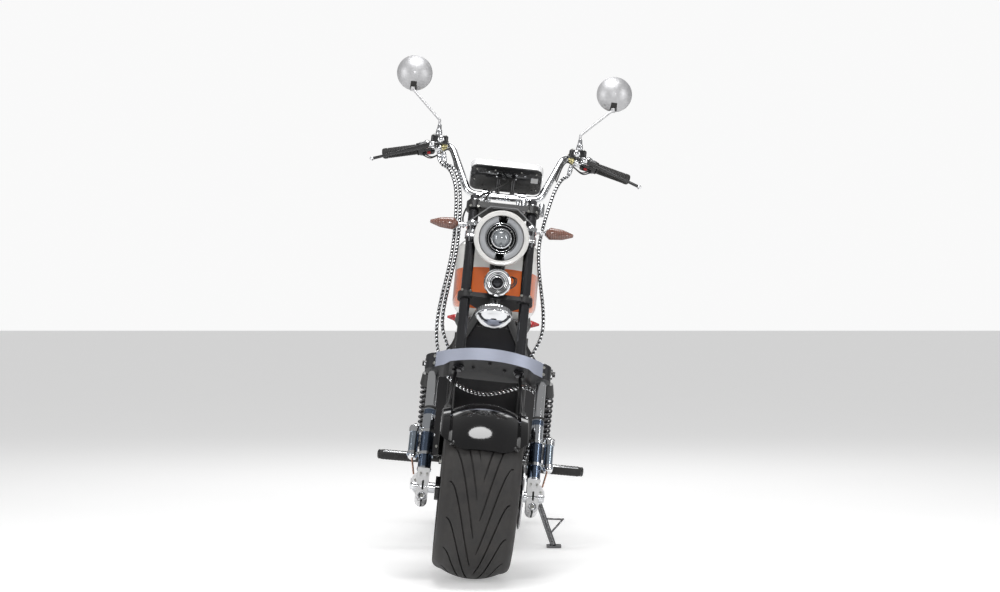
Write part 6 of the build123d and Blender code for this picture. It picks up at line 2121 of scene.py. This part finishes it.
# ------------------------------------------------------------------ seats
@dataclass
class Seat:
    """An upholstered seat, blown up as cloth from its shell, with sewn channels, stitches and piping.

    Attributes:
        node: the CAD node that it stands for.
        fill: how tight the foam is, from 0 to 1; not used.
        swell: the furthest that a point may move.
        channels: places of the sewn channels along the machine.
        piping: height of the piped edge.
    """

    node: str
    fill: float
    swell: float
    channels: tuple[float, ...]
    piping: float
    shrink: float = 0.955
    voxel: float = 0.005

    def applied(self, mesh: bpy.types.Mesh, kind: str, steps: int = 0, **settings: object) -> bpy.types.Mesh:
        """A copy of a mesh with one modifier applied, after some steps of time."""
        carrier = bpy.data.objects.new("pad", mesh)
        scene = bpy.context.scene
        scene.collection.objects.link(carrier)
        modifier = carrier.modifiers.new("work", kind)
        if kind == "CLOTH":
            modifier.settings.use_pressure = True
            modifier.settings.uniform_pressure_force = 4.0
            modifier.settings.effector_weights.gravity = 0.0
            modifier.point_cache.frame_start, modifier.point_cache.frame_end = 1, steps
        for key, value in settings.items():
            setattr(modifier, key, value)
        for step in range(1, steps + 1):
            scene.frame_set(step)
        bpy.context.view_layer.update()
        graph = bpy.context.evaluated_depsgraph_get()
        done = bpy.data.meshes.new_from_object(carrier.evaluated_get(graph), depsgraph=graph)
        bpy.data.objects.remove(carrier)
        return done

    def shell(self) -> bpy.types.Mesh:
        """The CAD seat, a little smaller, as an even net of faces."""
        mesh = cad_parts[self.node].data.copy()
        form = bmesh.new()
        form.from_mesh(mesh)
        bmesh.ops.remove_doubles(form, verts=form.verts, dist=1e-5)
        centre = sum((v.co for v in form.verts), Vector()) / len(form.verts)
        for vertex in form.verts:
            vertex.co = centre + (vertex.co - centre) * self.shrink
        form.to_mesh(mesh)
        form.free()
        return self.applied(mesh, "REMESH", mode="VOXEL", voxel_size=self.voxel, use_smooth_shade=True)

    def cover(self) -> bpy.types.Mesh:
        """The cover, swollen, capped, held off its neighbours and sewn down along its channels."""
        start = self.shell()
        low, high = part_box(self.node)
        inward = BIKE.inverted()
        floor = min((inward @ v.co).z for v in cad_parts[self.node].data.vertices)
        grown = self.applied(start.copy(), "CLOTH", 20)
        for vertex, was in zip(grown.vertices, start.vertices):
            move = vertex.co - was.co
            if move.length > self.swell:
                vertex.co = was.co + move.normalized() * self.swell
        for vertex in grown.vertices:
            for axis, room in enumerate((0.004, 0.002, 0.008)):
                vertex.co[axis] = min(max(vertex.co[axis], low[axis] - room), high[axis] + room)
            here = inward @ vertex.co
            if here.z < floor:
                here.z = floor
                vertex.co = BIKE @ here
        grown.update()
        fine = self.applied(grown, "SUBSURF", levels=1, render_levels=1)
        up = (BIKE.to_3x3() @ Vector((0, 0, 1))).normalized()
        facings = [vertex.normal.dot(up) for vertex in fine.vertices]
        for vertex, facing in zip(fine.vertices, facings):
            along = (inward @ vertex.co).y
            depth = sum(0.0042 * exp(-(((along - channel) / 0.0055) ** 2)) for channel in self.channels)
            vertex.co = vertex.co - up * depth * max(0.0, min(1.0, facing * 1.6))
        fine.update()
        fine.shade_smooth()
        return fine

    def build(self) -> None:
        """Makes the seat, its stitches and its piping."""
        mesh = self.cover()
        mesh.name = f"{self.node}_cover"
        piece = place_piece(f"{self.node}_cover", mesh, LEATHER, Body.CHASSIS, (self.node,))
        skin = BVHTree.FromPolygons([v.co for v in mesh.vertices], [tuple(f.vertices) for f in mesh.polygons])
        inward = BIKE.inverted()
        corners = [inward @ v.co for v in mesh.vertices]
        middle_y = (min(c.y for c in corners) + max(c.y for c in corners)) / 2
        down = BIKE.to_3x3() @ Vector((0, 0, -1))
        stitches = Shape()
        for channel in self.channels:
            for shift in (-0.0042, 0.0042):
                for k in range(-24, 25):
                    ends = [skin.ray_cast(BIKE @ Vector((k * 0.0048 + reach, channel + shift, 1.0)), down)[0]
                            for reach in (-0.0016, 0.0016)]
                    if None not in ends and all((inward @ end).z > self.piping + 0.004 for end in ends):
                        lift = -down * 0.0002
                        stitches.rod(ends[0] + lift, ends[1] + lift, 0.00055, 6)
        add_piece(f"{self.node}_stitches", stitches, THREAD, Body.CHASSIS)
        path = []
        for k in range(120):
            way = Vector((cos(tau * k / 120) * 0.6, sin(tau * k / 120), 0))
            start = Vector((0, middle_y, self.piping)) + way * 0.5
            spot = skin.ray_cast(BIKE @ start, BIKE.to_3x3() @ -way.normalized())[0]
            if spot is not None:
                path.append(spot)
        for _ in range(2):
            path = [(path[k - 1] + path[k] * 2 + path[(k + 1) % len(path)]) / 4 for k in range(len(path))]
        add_piece(
            f"{self.node}_piping", Shape().sweep(path, 0.0021, 10, loop=True), RUBBER, Body.CHASSIS,
        )


# ------------------------------------------------------------------ small parts of the fork
LEG_X = 0.1535
LEG_AHEAD = 0.018


@dataclass
class ForkTrim:
    """Bolts, caps and the painted shade of slots of the fork: dropouts, reservoirs, crown and yokes."""

    def dropouts(self) -> None:
        """The eye and its bolt, a dark piece of painted shade in the pinch slot and the small bolts of each
        dropout.
        """
        eyes = Shape(FORK)
        slot_shades = Shape(FORK)
        for side in SIDES:
            x = side * LEG_X
            eye = frame_at(Vector((x, -0.0465, -0.031)), Vector((0, -1, 0)))
            eyes.lathe(
                eye,
                [(0.0072, -0.001), (0.0072, 0.0012), (0.0085, 0.0018), (0.0110, 0.0014), (0.0116, -0.001)],
                40, loop=True
            )
            # Dark pieces of painted shade where the pinch slot and the slit under the eye lie in shadow.
            slot_shades.prism(
                frame_at(Vector((x, -0.0429, 0.002)), Vector((0, -1, 0))),
                rounded_rectangle(0.0055, 0.028, 0.0026), -0.002, 0.0003
            )
            slot_shades.block((x - 0.0022, -0.0474, -0.049), (x + 0.0022, -0.0100, -0.0425))
        add_piece("dropout_eyes", eyes, SATIN_CHROME, Body.STEERING)
        add_piece("dropout_slots", slot_shades, SLOT_SHADE, Body.STEERING)
        bolts = [((side * LEG_X, -0.0405, -0.031), (0, -1, 0)) for side in SIDES]
        Screws(
            "dropout_eye_bolts", Head.SOCKET, 0.0125, 0.004, Body.STEERING, ZINC, FORK, bolts
        ).build("chrome")
        starts = [
            (side * (LEG_X + x), -0.2, z)
            for side in SIDES
            for x, z in ((-0.009, 0.036), (0.009, 0.036), (0.0225, 0.026))
        ]
        FaceScrews(
            "dropout_pinch_bolts", "fork_dropouts", Head.SOCKET, 0.0068, 0.0032, Body.STEERING, ZINC, FORK,
            (0, 1, 0), starts
        ).build()
        ends = [(side * 0.3, -0.033, 0) for side in SIDES]
        for index, side in enumerate(SIDES):
            FaceScrews(
                f"front_axle_nut_{index}", "front_axle", Head.HEX, 0.020, 0.008, Body.STEERING, CHROME, FORK,
                (-side, 0, 0), (ends[index],)
            ).build()

    def reservoirs(self) -> None:
        """Domed caps with a valve on the reservoirs, and adjusters at the slider feet."""
        caps = Shape(FORK)
        valves = Shape(FORK)
        for side in SIDES:
            place = Matrix.Translation((side * 0.190, -LEG_AHEAD, 0.1795))
            caps.lathe(
                place,
                [
                    (0, 0), (0.0163, 0), (0.0163, 0.0026), (0.0145, 0.0058), (0.0105, 0.0082),
                    (0.006, 0.0092), (0, 0.0094)
                ], 40
            )
            valves.lathe(
                place @ Matrix.Translation((0, 0, 0.0088)),
                [(0, 0), (0.0042, 0), (0.0042, 0.0040), (0.0034, 0.0048), (0, 0.0048)], 20
            )
            foot = Matrix.Translation((side * 0.190, -LEG_AHEAD, 0.0885))
            caps.lathe(
                foot,
                [
                    (0, -0.002), (0.0102, -0.002), (0.0125, 0.001), (0.0138, 0.0060), (0.0138, 0.0085),
                    (0, 0.0085)
                ], 40
            )
        add_piece("reservoir_caps", caps, CHROME, Body.STEERING, 0.0003)
        add_piece("reservoir_valves", valves, BLACK_SATIN, Body.STEERING, 0.0002)
        for number, high in enumerate((0.1015, 0.1695)):
            starts = [(side * (LEG_X + 0.0185), -0.2, high) for side in SIDES]
            FaceScrews(
                f"clamp_bolts_{number}", "fork_reservoirs", Head.SOCKET, 0.0052, 0.0028, Body.STEERING, ZINC,
                FORK, (0, 1, 0), starts
            ).build()
        wipers = Shape(FORK)
        for side in SIDES:
            place = Matrix.Translation((side * LEG_X, -LEG_AHEAD, 0.2405))
            wipers.lathe(
                place,
                [
                    (0.0128, -0.001), (0.0180, -0.001), (0.0186, 0.001), (0.0180, 0.0058), (0.0150, 0.0072),
                    (0.0128, 0.0072)
                ], 40, loop=True
            )
        add_piece("dust_wipers", wipers, RUBBER, Body.STEERING)

    def crown(self) -> None:
        """Bolts through the crown's ends and face, and fittings under it."""
        starts = [(side * (LEG_X + 0.002), -0.4, z) for side in SIDES for z in (0.372, 0.394)]
        FaceScrews(
            "crown_pinch_bolts", "fork_crown", Head.SOCKET, 0.0085, 0.0035, Body.STEERING, ZINC, FORK,
            (0, 1, 0), starts
        ).build()
        for index, side in enumerate(SIDES):
            FaceScrews(
                f"crown_end_bolt_{index}", "fork_crown", Head.BUTTON, 0.012, 0.0042, Body.STEERING, CHROME,
                FORK, (-side, 0, 0), ((side * 0.3, -LEG_AHEAD, 0.383),)
            ).build()
        starts = [
            (x, y, 0.2)
            for x, y in ((-0.045, -0.055), (0.045, -0.055), (-0.092, -0.045), (0.092, -0.045), (0, -0.09))
        ]
        FaceScrews(
            "crown_lower_bolts", "fork_crown", Head.SOCKET, 0.0095, 0.005, Body.STEERING, BLACK_SATIN, FORK,
            (0, 0, 1), starts, "black_gloss"
        ).build()
        caps = Shape(FORK)
        for side in SIDES:
            place = Matrix.Translation((side * LEG_X, -LEG_AHEAD, 0.4108))
            caps.lathe(
                place,
                [
                    (0, 0), (0.0150, 0), (0.0150, 0.003), (0.0125, 0.0052), (0.0075, 0.0052),
                    (0.0070, 0.0025), (0, 0.0025)
                ], 40
            )
        add_piece("stanchion_caps", caps, CHROME, Body.STEERING, 0.0003)

    def yokes(self) -> None:
        """Chromed caps on the upper tubes, the key barrels beside them and the yokes' pinch bolts."""
        caps = Shape(FORK)
        for side in SIDES:
            place = Matrix.Translation((side * 0.086, -0.055, 0.9015))
            caps.lathe(
                place,
                [
                    (0, 0), (0.0172, 0), (0.0172, 0.006), (0.0158, 0.0075), (0.0085, 0.0075),
                    (0.0080, 0.0042), (0, 0.0042)
                ], 40
            )
        add_piece("upper_tube_caps", caps, CHROME, Body.STEERING, 0.0004)
        barrels = Shape(FORK)
        for x, ahead in ((0.058, 0.066), (0.112, 0.060)):
            barrels.rod((x, -ahead, 0.878), (x, -ahead, 0.917), 0.0088, 28, 0.0016)
        add_piece("key_barrels", barrels, SATIN_CHROME, Body.STEERING)
        for node, low in (("upper_yoke", 0.880), ("lower_yoke", 0.600)):
            starts = [(side * (0.086 + dx), -0.3, low) for side in SIDES for dx in (-0.011, 0.011)]
            FaceScrews(
                f"{node}_bolts", node, Head.SOCKET, 0.0072, 0.0035, Body.STEERING, ZINC, FORK, (0, 1, 0),
                starts
            ).build()

    def build(self) -> None:
        """Makes all of the fork's small parts."""
        self.dropouts()
        self.reservoirs()
        self.crown()
        self.yokes()
        starts = [(side * 0.088, -0.6, 0.445) for side in SIDES]
        FaceScrews(
            "fender_tabs", "front_fender", Head.BUTTON, 0.017, 0.003, Body.STEERING, BLACK_SATIN, BARS,
            (0, 1, -0.15), starts, "black_gloss"
        ).build()


# ------------------------------------------------------------------ small parts of the chassis and wheels
def ring_starts(out: float, radius: float, count: int) -> list[Point]:
    """Points spaced round a wheel's axle, at a distance out along it."""
    return [(out, radius * cos(tau * k / count), radius * sin(tau * k / count)) for k in range(count)]


@dataclass
class WheelTrim:
    """Disc bolts and valves of both wheels, and the screws of the motor's cover."""

    def build(self) -> None:
        """Makes the wheels' small parts."""
        for name, node, body, place in (("front", "front_disc", Body.FRONT_WHEEL, FRONT_WHEEL),
                                        ("rear", "rear_disc", Body.REAR_WHEEL, REAR_WHEEL)):
            side = 1 if (place.inverted() @ middle(node)).x > 0 else -1
            starts = ring_starts(side * 0.4, 0.034, 5)
            FaceScrews(
                f"{name}_disc_bolts", node, Head.SOCKET, 0.0095, 0.004, body, ZINC, place, (-side, 0, 0),
                starts
            ).build()
        for name, node, body, place in (("front", "front_rim", Body.FRONT_WHEEL, FRONT_WHEEL),
                                        ("rear", "rear_hub_wheel", Body.REAR_WHEEL, REAR_WHEEL)):
            found = on_face(node, place @ Vector((-0.4, -0.105, 0.02)), place.to_3x3() @ Vector((1, 0, 0)))
            if found:
                spot, normal = found
                valve = [
                    (0, -0.003), (0.0052, -0.003), (0.0046, 0.004), (0.0030, 0.010), (0.0030, 0.019),
                    (0.0036, 0.0195), (0.0036, 0.027), (0.0028, 0.0285), (0, 0.0285)
                ]
                add_piece(
                    f"{name}_valve",
                    Shape().lathe(frame_at(spot, normal + place.to_3x3() @ Vector((0, 0.9, 0))), valve, 20),
                    RUBBER, body
                )
        starts = ring_starts(-0.4, 0.062, 8)
        FaceScrews(
            "motor_cover_screws", "rear_hub_wheel", Head.BUTTON, 0.008, 0.003, Body.REAR_WHEEL, ZINC,
            REAR_WHEEL, (1, 0, 0), starts
        ).build()


@dataclass
class ChassisTrim:
    """Peg rubbers and strips, box ribs and screws, damper bolts, axle nuts and bracket screws."""

    peg_y: float = 0.610
    peg_z: float = 0.2708

    def pegs(self) -> None:
        """Ribs, a bright wear strip and a rounded end on each footpeg."""
        ribs, strips, ends = Shape(BIKE), Shape(BIKE), Shape(BIKE)
        for side in SIDES:
            start = Vector((side * 0.170, self.peg_y, self.peg_z))
            place = frame_at(start, Vector((side, 0, 0)))
            for k in range(14):
                low = 0.002 + k * 0.0094
                ribs.lathe(
                    place,
                    [(0.0146, low), (0.0156, low + 0.0008), (0.0156, low + 0.0052), (0.0146, low + 0.006)],
                    32, loop=True
                )
            strips.rod(
                start + Vector((0, -0.0108, 0.0108)), start + Vector((side * 0.130, -0.0108, 0.0108)), 0.0024,
                12, 0.001
            )
            tip = frame_at(Vector((side * 0.3095, self.peg_y, self.peg_z)), Vector((side, 0, 0)))
            ends.lathe(
                tip, [(0, 0), (0.0150, 0), (0.0148, 0.0024), (0.0128, 0.0052), (0.0085, 0.0072), (0, 0.0080)],
                32
            )
        add_piece("peg_ribs", ribs, RUBBER, Body.CHASSIS)
        add_piece("peg_strips", strips, CHROME, Body.CHASSIS)
        add_piece("peg_ends", ends, GLOSS_PLASTIC, Body.CHASSIS)

    def battery_box(self) -> None:
        """Ribs and screws on the box's sides, and the pins of the charging socket."""
        ribs = Shape(BIKE)
        for side in SIDES:
            for k in range(9):
                y = 0.575 + k * 0.029
                if side < 0 and abs(y - 0.760) < 0.040:
                    continue
                found = on_face(
                    "battery_box", BIKE @ Vector((side * 0.4, y, 0.43)), BIKE.to_3x3() @ Vector((-side, 0, 0))
                )
                if found:
                    x = (BIKE.inverted() @ found[0]).x
                    ribs.prism(
                        frame_at(Vector((x, y, 0.43)), Vector((side, 0, 0))),
                        rounded_rectangle(0.008, 0.150, 0.0038), -0.001, 0.0024, 0.8
                    )
        add_piece("battery_box_ribs", ribs, BOX_PAINT, Body.CHASSIS, 0.0004)
        for index, side in enumerate(SIDES):
            starts = [(side * 0.4, y, z) for y in (0.545, 0.690, 0.832) for z in (0.315, 0.530)]
            FaceScrews(
                f"battery_box_screws_{index}", "battery_box", Head.SOCKET, 0.0085, 0.0035, Body.CHASSIS, ZINC,
                BIKE, (-side, 0, 0), starts
            ).build()
        starts = [
            (-0.4, 0.760 + 0.006 * cos(tau * k / 3 + 0.5), 0.500 + 0.006 * sin(tau * k / 3 + 0.5))
            for k in range(3)
        ]
        FaceScrews(
            "charging_pins", "charge_socket", Head.PIN, 0.0034, 0.006, Body.CHASSIS, BRASS_BAND, BIKE,
            (1, 0, 0), starts
        ).build()

    def ends(self) -> None:
        """Nuts of the rear axle, and bolts of the dampers, the rear fender and the cradle."""
        for index, side in enumerate(SIDES):
            FaceScrews(
                f"rear_axle_nut_{index}", "rear_axle", Head.HEX, 0.022, 0.009, Body.CHASSIS, CHROME, BIKE,
                (-side, 0, 0), ((side * 0.5, WHEELBASE, TYRE_RADIUS),)
            ).build()
            starts = [(side * 0.5, 1.165, 0.540), (side * 0.5, 1.262, 0.262)]
            FaceScrews(
                f"damper_bolts_{index}", "rear_shocks", Head.HEX, 0.017, 0.007, Body.CHASSIS, CHROME, BIKE,
                (-side, 0, 0), starts
            ).build()
            FaceScrews(
                f"rear_fender_screws_{index}", "rear_fender", Head.BUTTON, 0.009, 0.003, Body.CHASSIS, ZINC,
                BIKE, (0, 0, -1), [(side * 0.055, y, 0.9) for y in (1.420, 1.470)]
            ).build()
            FaceScrews(
                f"cradle_bolts_{index}", "frame", Head.HEX, 0.013, 0.006, Body.CHASSIS, ZINC, BIKE,
                (-side, 0, 0), [(side * 0.4, y, z) for y, z in ((0.560, self.peg_z), (0.700, self.peg_z))]
            ).build()

    def tail(self) -> None:
        """The screws of the plate bracket."""
        starts = [(x, 1.9, z) for x in (-0.082, 0.082) for z in (0.540, 0.610)]
        FaceScrews(
            "bracket_screws", "plate_bracket", Head.BUTTON, 0.008, 0.003, Body.CHASSIS, ZINC, BIKE,
            (0, -1, 0), starts
        ).build()

    def build(self) -> None:
        """Makes all of the chassis's small parts."""
        self.pegs()
        self.battery_box()
        self.ends()
        self.tail()


# ------------------------------------------------------------------ stage
@dataclass
class Studio:
    """The camera, the flat pale floor, and soft lamps round the machine."""

    lens: float = 74.09
    from_axle: Point = (0.0631, -5.7003, 0.5439)
    floor_colour: Colour = (0.83, 0.83, 0.83)
    seen_level: float = 0.95
    mirrored_level: float = 0.3
    plain_level: float = 0.4

    def build(self) -> None:
        """Sets the stage."""
        self.camera()
        self.floor()
        self.lamps()
        self.world()

    def camera(self) -> None:
        """A level camera straight in front of the machine."""
        data = bpy.data.cameras.new("camera")
        data.lens = self.lens
        data.sensor_width = 36
        data.clip_end = 100
        camera = bpy.data.objects.new("camera", data)
        bpy.context.scene.collection.objects.link(camera)
        camera.location = FRONT_AXLE + Vector(self.from_axle)
        camera.rotation_euler = (pi / 2, 0, 0)
        bpy.context.scene.camera = camera

    def pale(self, name: str, shown: float) -> bpy.types.Material:
        """A matte pale surface that shows as its own colour to the eye and in mirrors."""
        shader = Shader(name)
        place = shader.place()
        shader.set(
            "Base Color",
            shader.blend(
                shader.spread(shader.noise(place, 2, 3), 0, 1), self.floor_colour,
                tuple(c * 0.985 for c in self.floor_colour)
            )
        )
        shader.set("Roughness", shader.spread(shader.noise(place, 40, 3), 0.6, 0.75))
        shader.set("Specular IOR Level", 0.1)
        path = shader.add("ShaderNodeLightPath")
        seen = shader.sum_of("MAXIMUM", path.outputs["Is Camera Ray"], path.outputs["Is Glossy Ray"])
        seen = shader.sum_of("MAXIMUM", seen, path.outputs["Is Transmission Ray"])
        shader.set("Emission Color", (1.0, 1.0, 1.0))
        shader.set("Emission Strength", shader.sum_of("MULTIPLY", seen, shown))
        return shader.material

    def floor(self) -> None:
        """A flat pale floor, open to every side."""
        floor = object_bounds()[0].z
        shape = Shape()
        half = 40.0
        shape.face(
            [
                shape.point((x, y, floor))
                for x, y in ((-half, -half), (half, -half), (half, half), (-half, half))
            ]
        )
        mesh = bpy.data.meshes.new("floor")
        mesh.from_pydata(shape.points, [], shape.faces)
        mesh.shade_smooth()
        mesh.materials.append(self.pale("studio_floor", 0.32))
        piece = bpy.data.objects.new("floor", mesh)
        bpy.context.scene.collection.objects.link(piece)
        piece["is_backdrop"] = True

    def lamps(self) -> None:
        """Soft lamps: round ones above and in front, tall strips at the sides, a broad one behind."""
        for name, place, aim, width, height, power in (
            ("top", (0, -0.9, 3.3), (0, -0.1, 0.5), 1.5, 1.1, 50),
            ("left", (3.2, -2.4, 1.7), (0, -0.2, 0.5), 0.6, 2.2, 34),
            ("right", (-3.2, -2.4, 1.7), (0, -0.2, 0.5), 0.6, 2.2, 34),
            ("front", (0.3, -6.4, 2.3), (0, -0.3, 0.5), 0.6, 0.55, 40),
            ("back", (0, 3.0, 2.8), (0, 0.3, 0.6), 3.0, 1.2, 30),
        ):
            data = bpy.data.lights.new(name, "AREA")
            data.shape = "ELLIPSE" if name in ("front", "top") else "RECTANGLE"
            data.size, data.size_y, data.energy = width, height, power
            lamp = bpy.data.objects.new(name, data)
            bpy.context.scene.collection.objects.link(lamp)
            lamp.location = place
            lamp.rotation_euler = (Vector(aim) - Vector(place)).to_track_quat("-Z", "Y").to_euler()

    def world(self) -> None:
        """A pale room: plain light for the machine, nearly white where the camera sees it."""
        world = bpy.data.worlds.new("room")
        bpy.context.scene.world = world
        world.use_nodes = True
        tree = world.node_tree
        back = next(n for n in tree.nodes if n.type == "BACKGROUND")
        back.inputs["Color"].default_value = (1, 1, 1, 1)
        path = tree.nodes.new("ShaderNodeLightPath")
        most = tree.nodes.new("ShaderNodeMath")
        most.operation = "MAXIMUM"
        tree.links.new(path.outputs["Is Camera Ray"], most.inputs[0])
        tree.links.new(path.outputs["Is Transmission Ray"], most.inputs[1])
        unseen = tree.nodes.new("ShaderNodeMapRange")
        tree.links.new(path.outputs["Is Glossy Ray"], unseen.inputs["Value"])
        unseen.inputs["To Min"].default_value = self.plain_level
        unseen.inputs["To Max"].default_value = self.mirrored_level
        level = tree.nodes.new("ShaderNodeMapRange")
        tree.links.new(most.outputs[0], level.inputs["Value"])
        tree.links.new(unseen.outputs["Result"], level.inputs["To Min"])
        level.inputs["To Max"].default_value = self.seen_level
        tree.links.new(level.outputs["Result"], back.inputs["Strength"])
        bpy.context.scene.view_settings.view_transform = "Standard"


# ------------------------------------------------------------------ dressing of the frame's own nodes
DRESS: dict[str, Finish] = {
    "front_rim": BLACK_GLOSS, "rear_hub_wheel": MOTOR_PAINT, "front_disc": STEEL, "rear_disc": STEEL,
    "fork_crown": CROWN, "fork_upper_tubes": DARK_CHROME, "lower_yoke": BLACK_SATIN,
    "upper_yoke": BLACK_SATIN, "steering_stem": CHROME, "fork_stanchions": CHROME, "fork_sliders": SLIDER,
    "fork_reservoirs": RESERVOIR, "fork_dropouts": CAST_SILVER, "front_axle": SATIN_CHROME,
    "front_fender": BLACK_GLOSS, "fender_stays": BLACK_SATIN, "frame": BLACK_GLOSS, "subframe": BLACK_GLOSS,
    "battery_box": BOX_PAINT, "tank": TANK, "tank_cap": CHROME, "rider_seat": LEATHER,
    "passenger_seat": LEATHER, "rear_fender": BLACK_GLOSS, "swingarm": BLACK_SATIN, "rear_axle": SATIN_CHROME,
    "rear_shocks": BLACK_SATIN, "rear_springs": CHROME, "controller": MOTOR_PAINT, "charge_socket": PLASTIC,
    "footpegs": RUBBER, "side_stand": STAND_METAL, "front_brake_caliper": MOTOR_PAINT,
    "rear_brake_caliper": MOTOR_PAINT, "headlight": DARK_BOWL, "headlight_bracket": CHROME,
    "spotlight": CHROME, "horn": CHROME, "front_indicators": CHROME, "handlebar": CHROME, "grips": RUBBER,
    "control_clusters": PLASTIC, "brake_levers": SATIN_CHROME, "mirrors": MIRROR_BACK, "meter": GLOSS_PLASTIC,
    "plate_bracket": BLACK_SATIN, "rear_lights": RED, "front_tyre": TYRE, "rear_tyre": TYRE
}


def dress_frame() -> None:
    """Gives every node of the frame its own surface."""
    for name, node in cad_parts.items():
        finish = DRESS.get(name, BLACK_SATIN)
        node.data.materials.clear()
        node.data.materials.append(material(finish))
        log.info("%-26s dressed in %s", name, finish.name)


def main() -> None:
    """Builds the studio and every sub-assembly in order."""
    logging.basicConfig(level=logging.INFO, format="%(name)s: %(message)s")
    Studio().build()
    dress_frame()
    TreadedTyre("front_tyre", Body.FRONT_WHEEL, FRONT_WHEEL).build()
    TreadedTyre("rear_tyre", Body.REAR_WHEEL, REAR_WHEEL).build()
    for index, hose in enumerate(HOSES):
        hose.build(("fork_hoses",) if index == 0 else ())
    Headlight().build()
    Spotlight().build()
    Horn().build()
    FrontIndicators().build()
    CoilSprings().build()
    Grips().build()
    Controls().build()
    Levers().build()
    Mirrors().build()
    Meter().build()
    Seat("rider_seat", 0.6, 0.016, (0.985, 1.060, 1.135), 0.690).build()
    Seat("passenger_seat", 0.6, 0.016, (1.290, 1.345), 0.688).build()
    ForkTrim().build()
    WheelTrim().build()
    ChassisTrim().build()


if __name__ == "__main__":
    main()
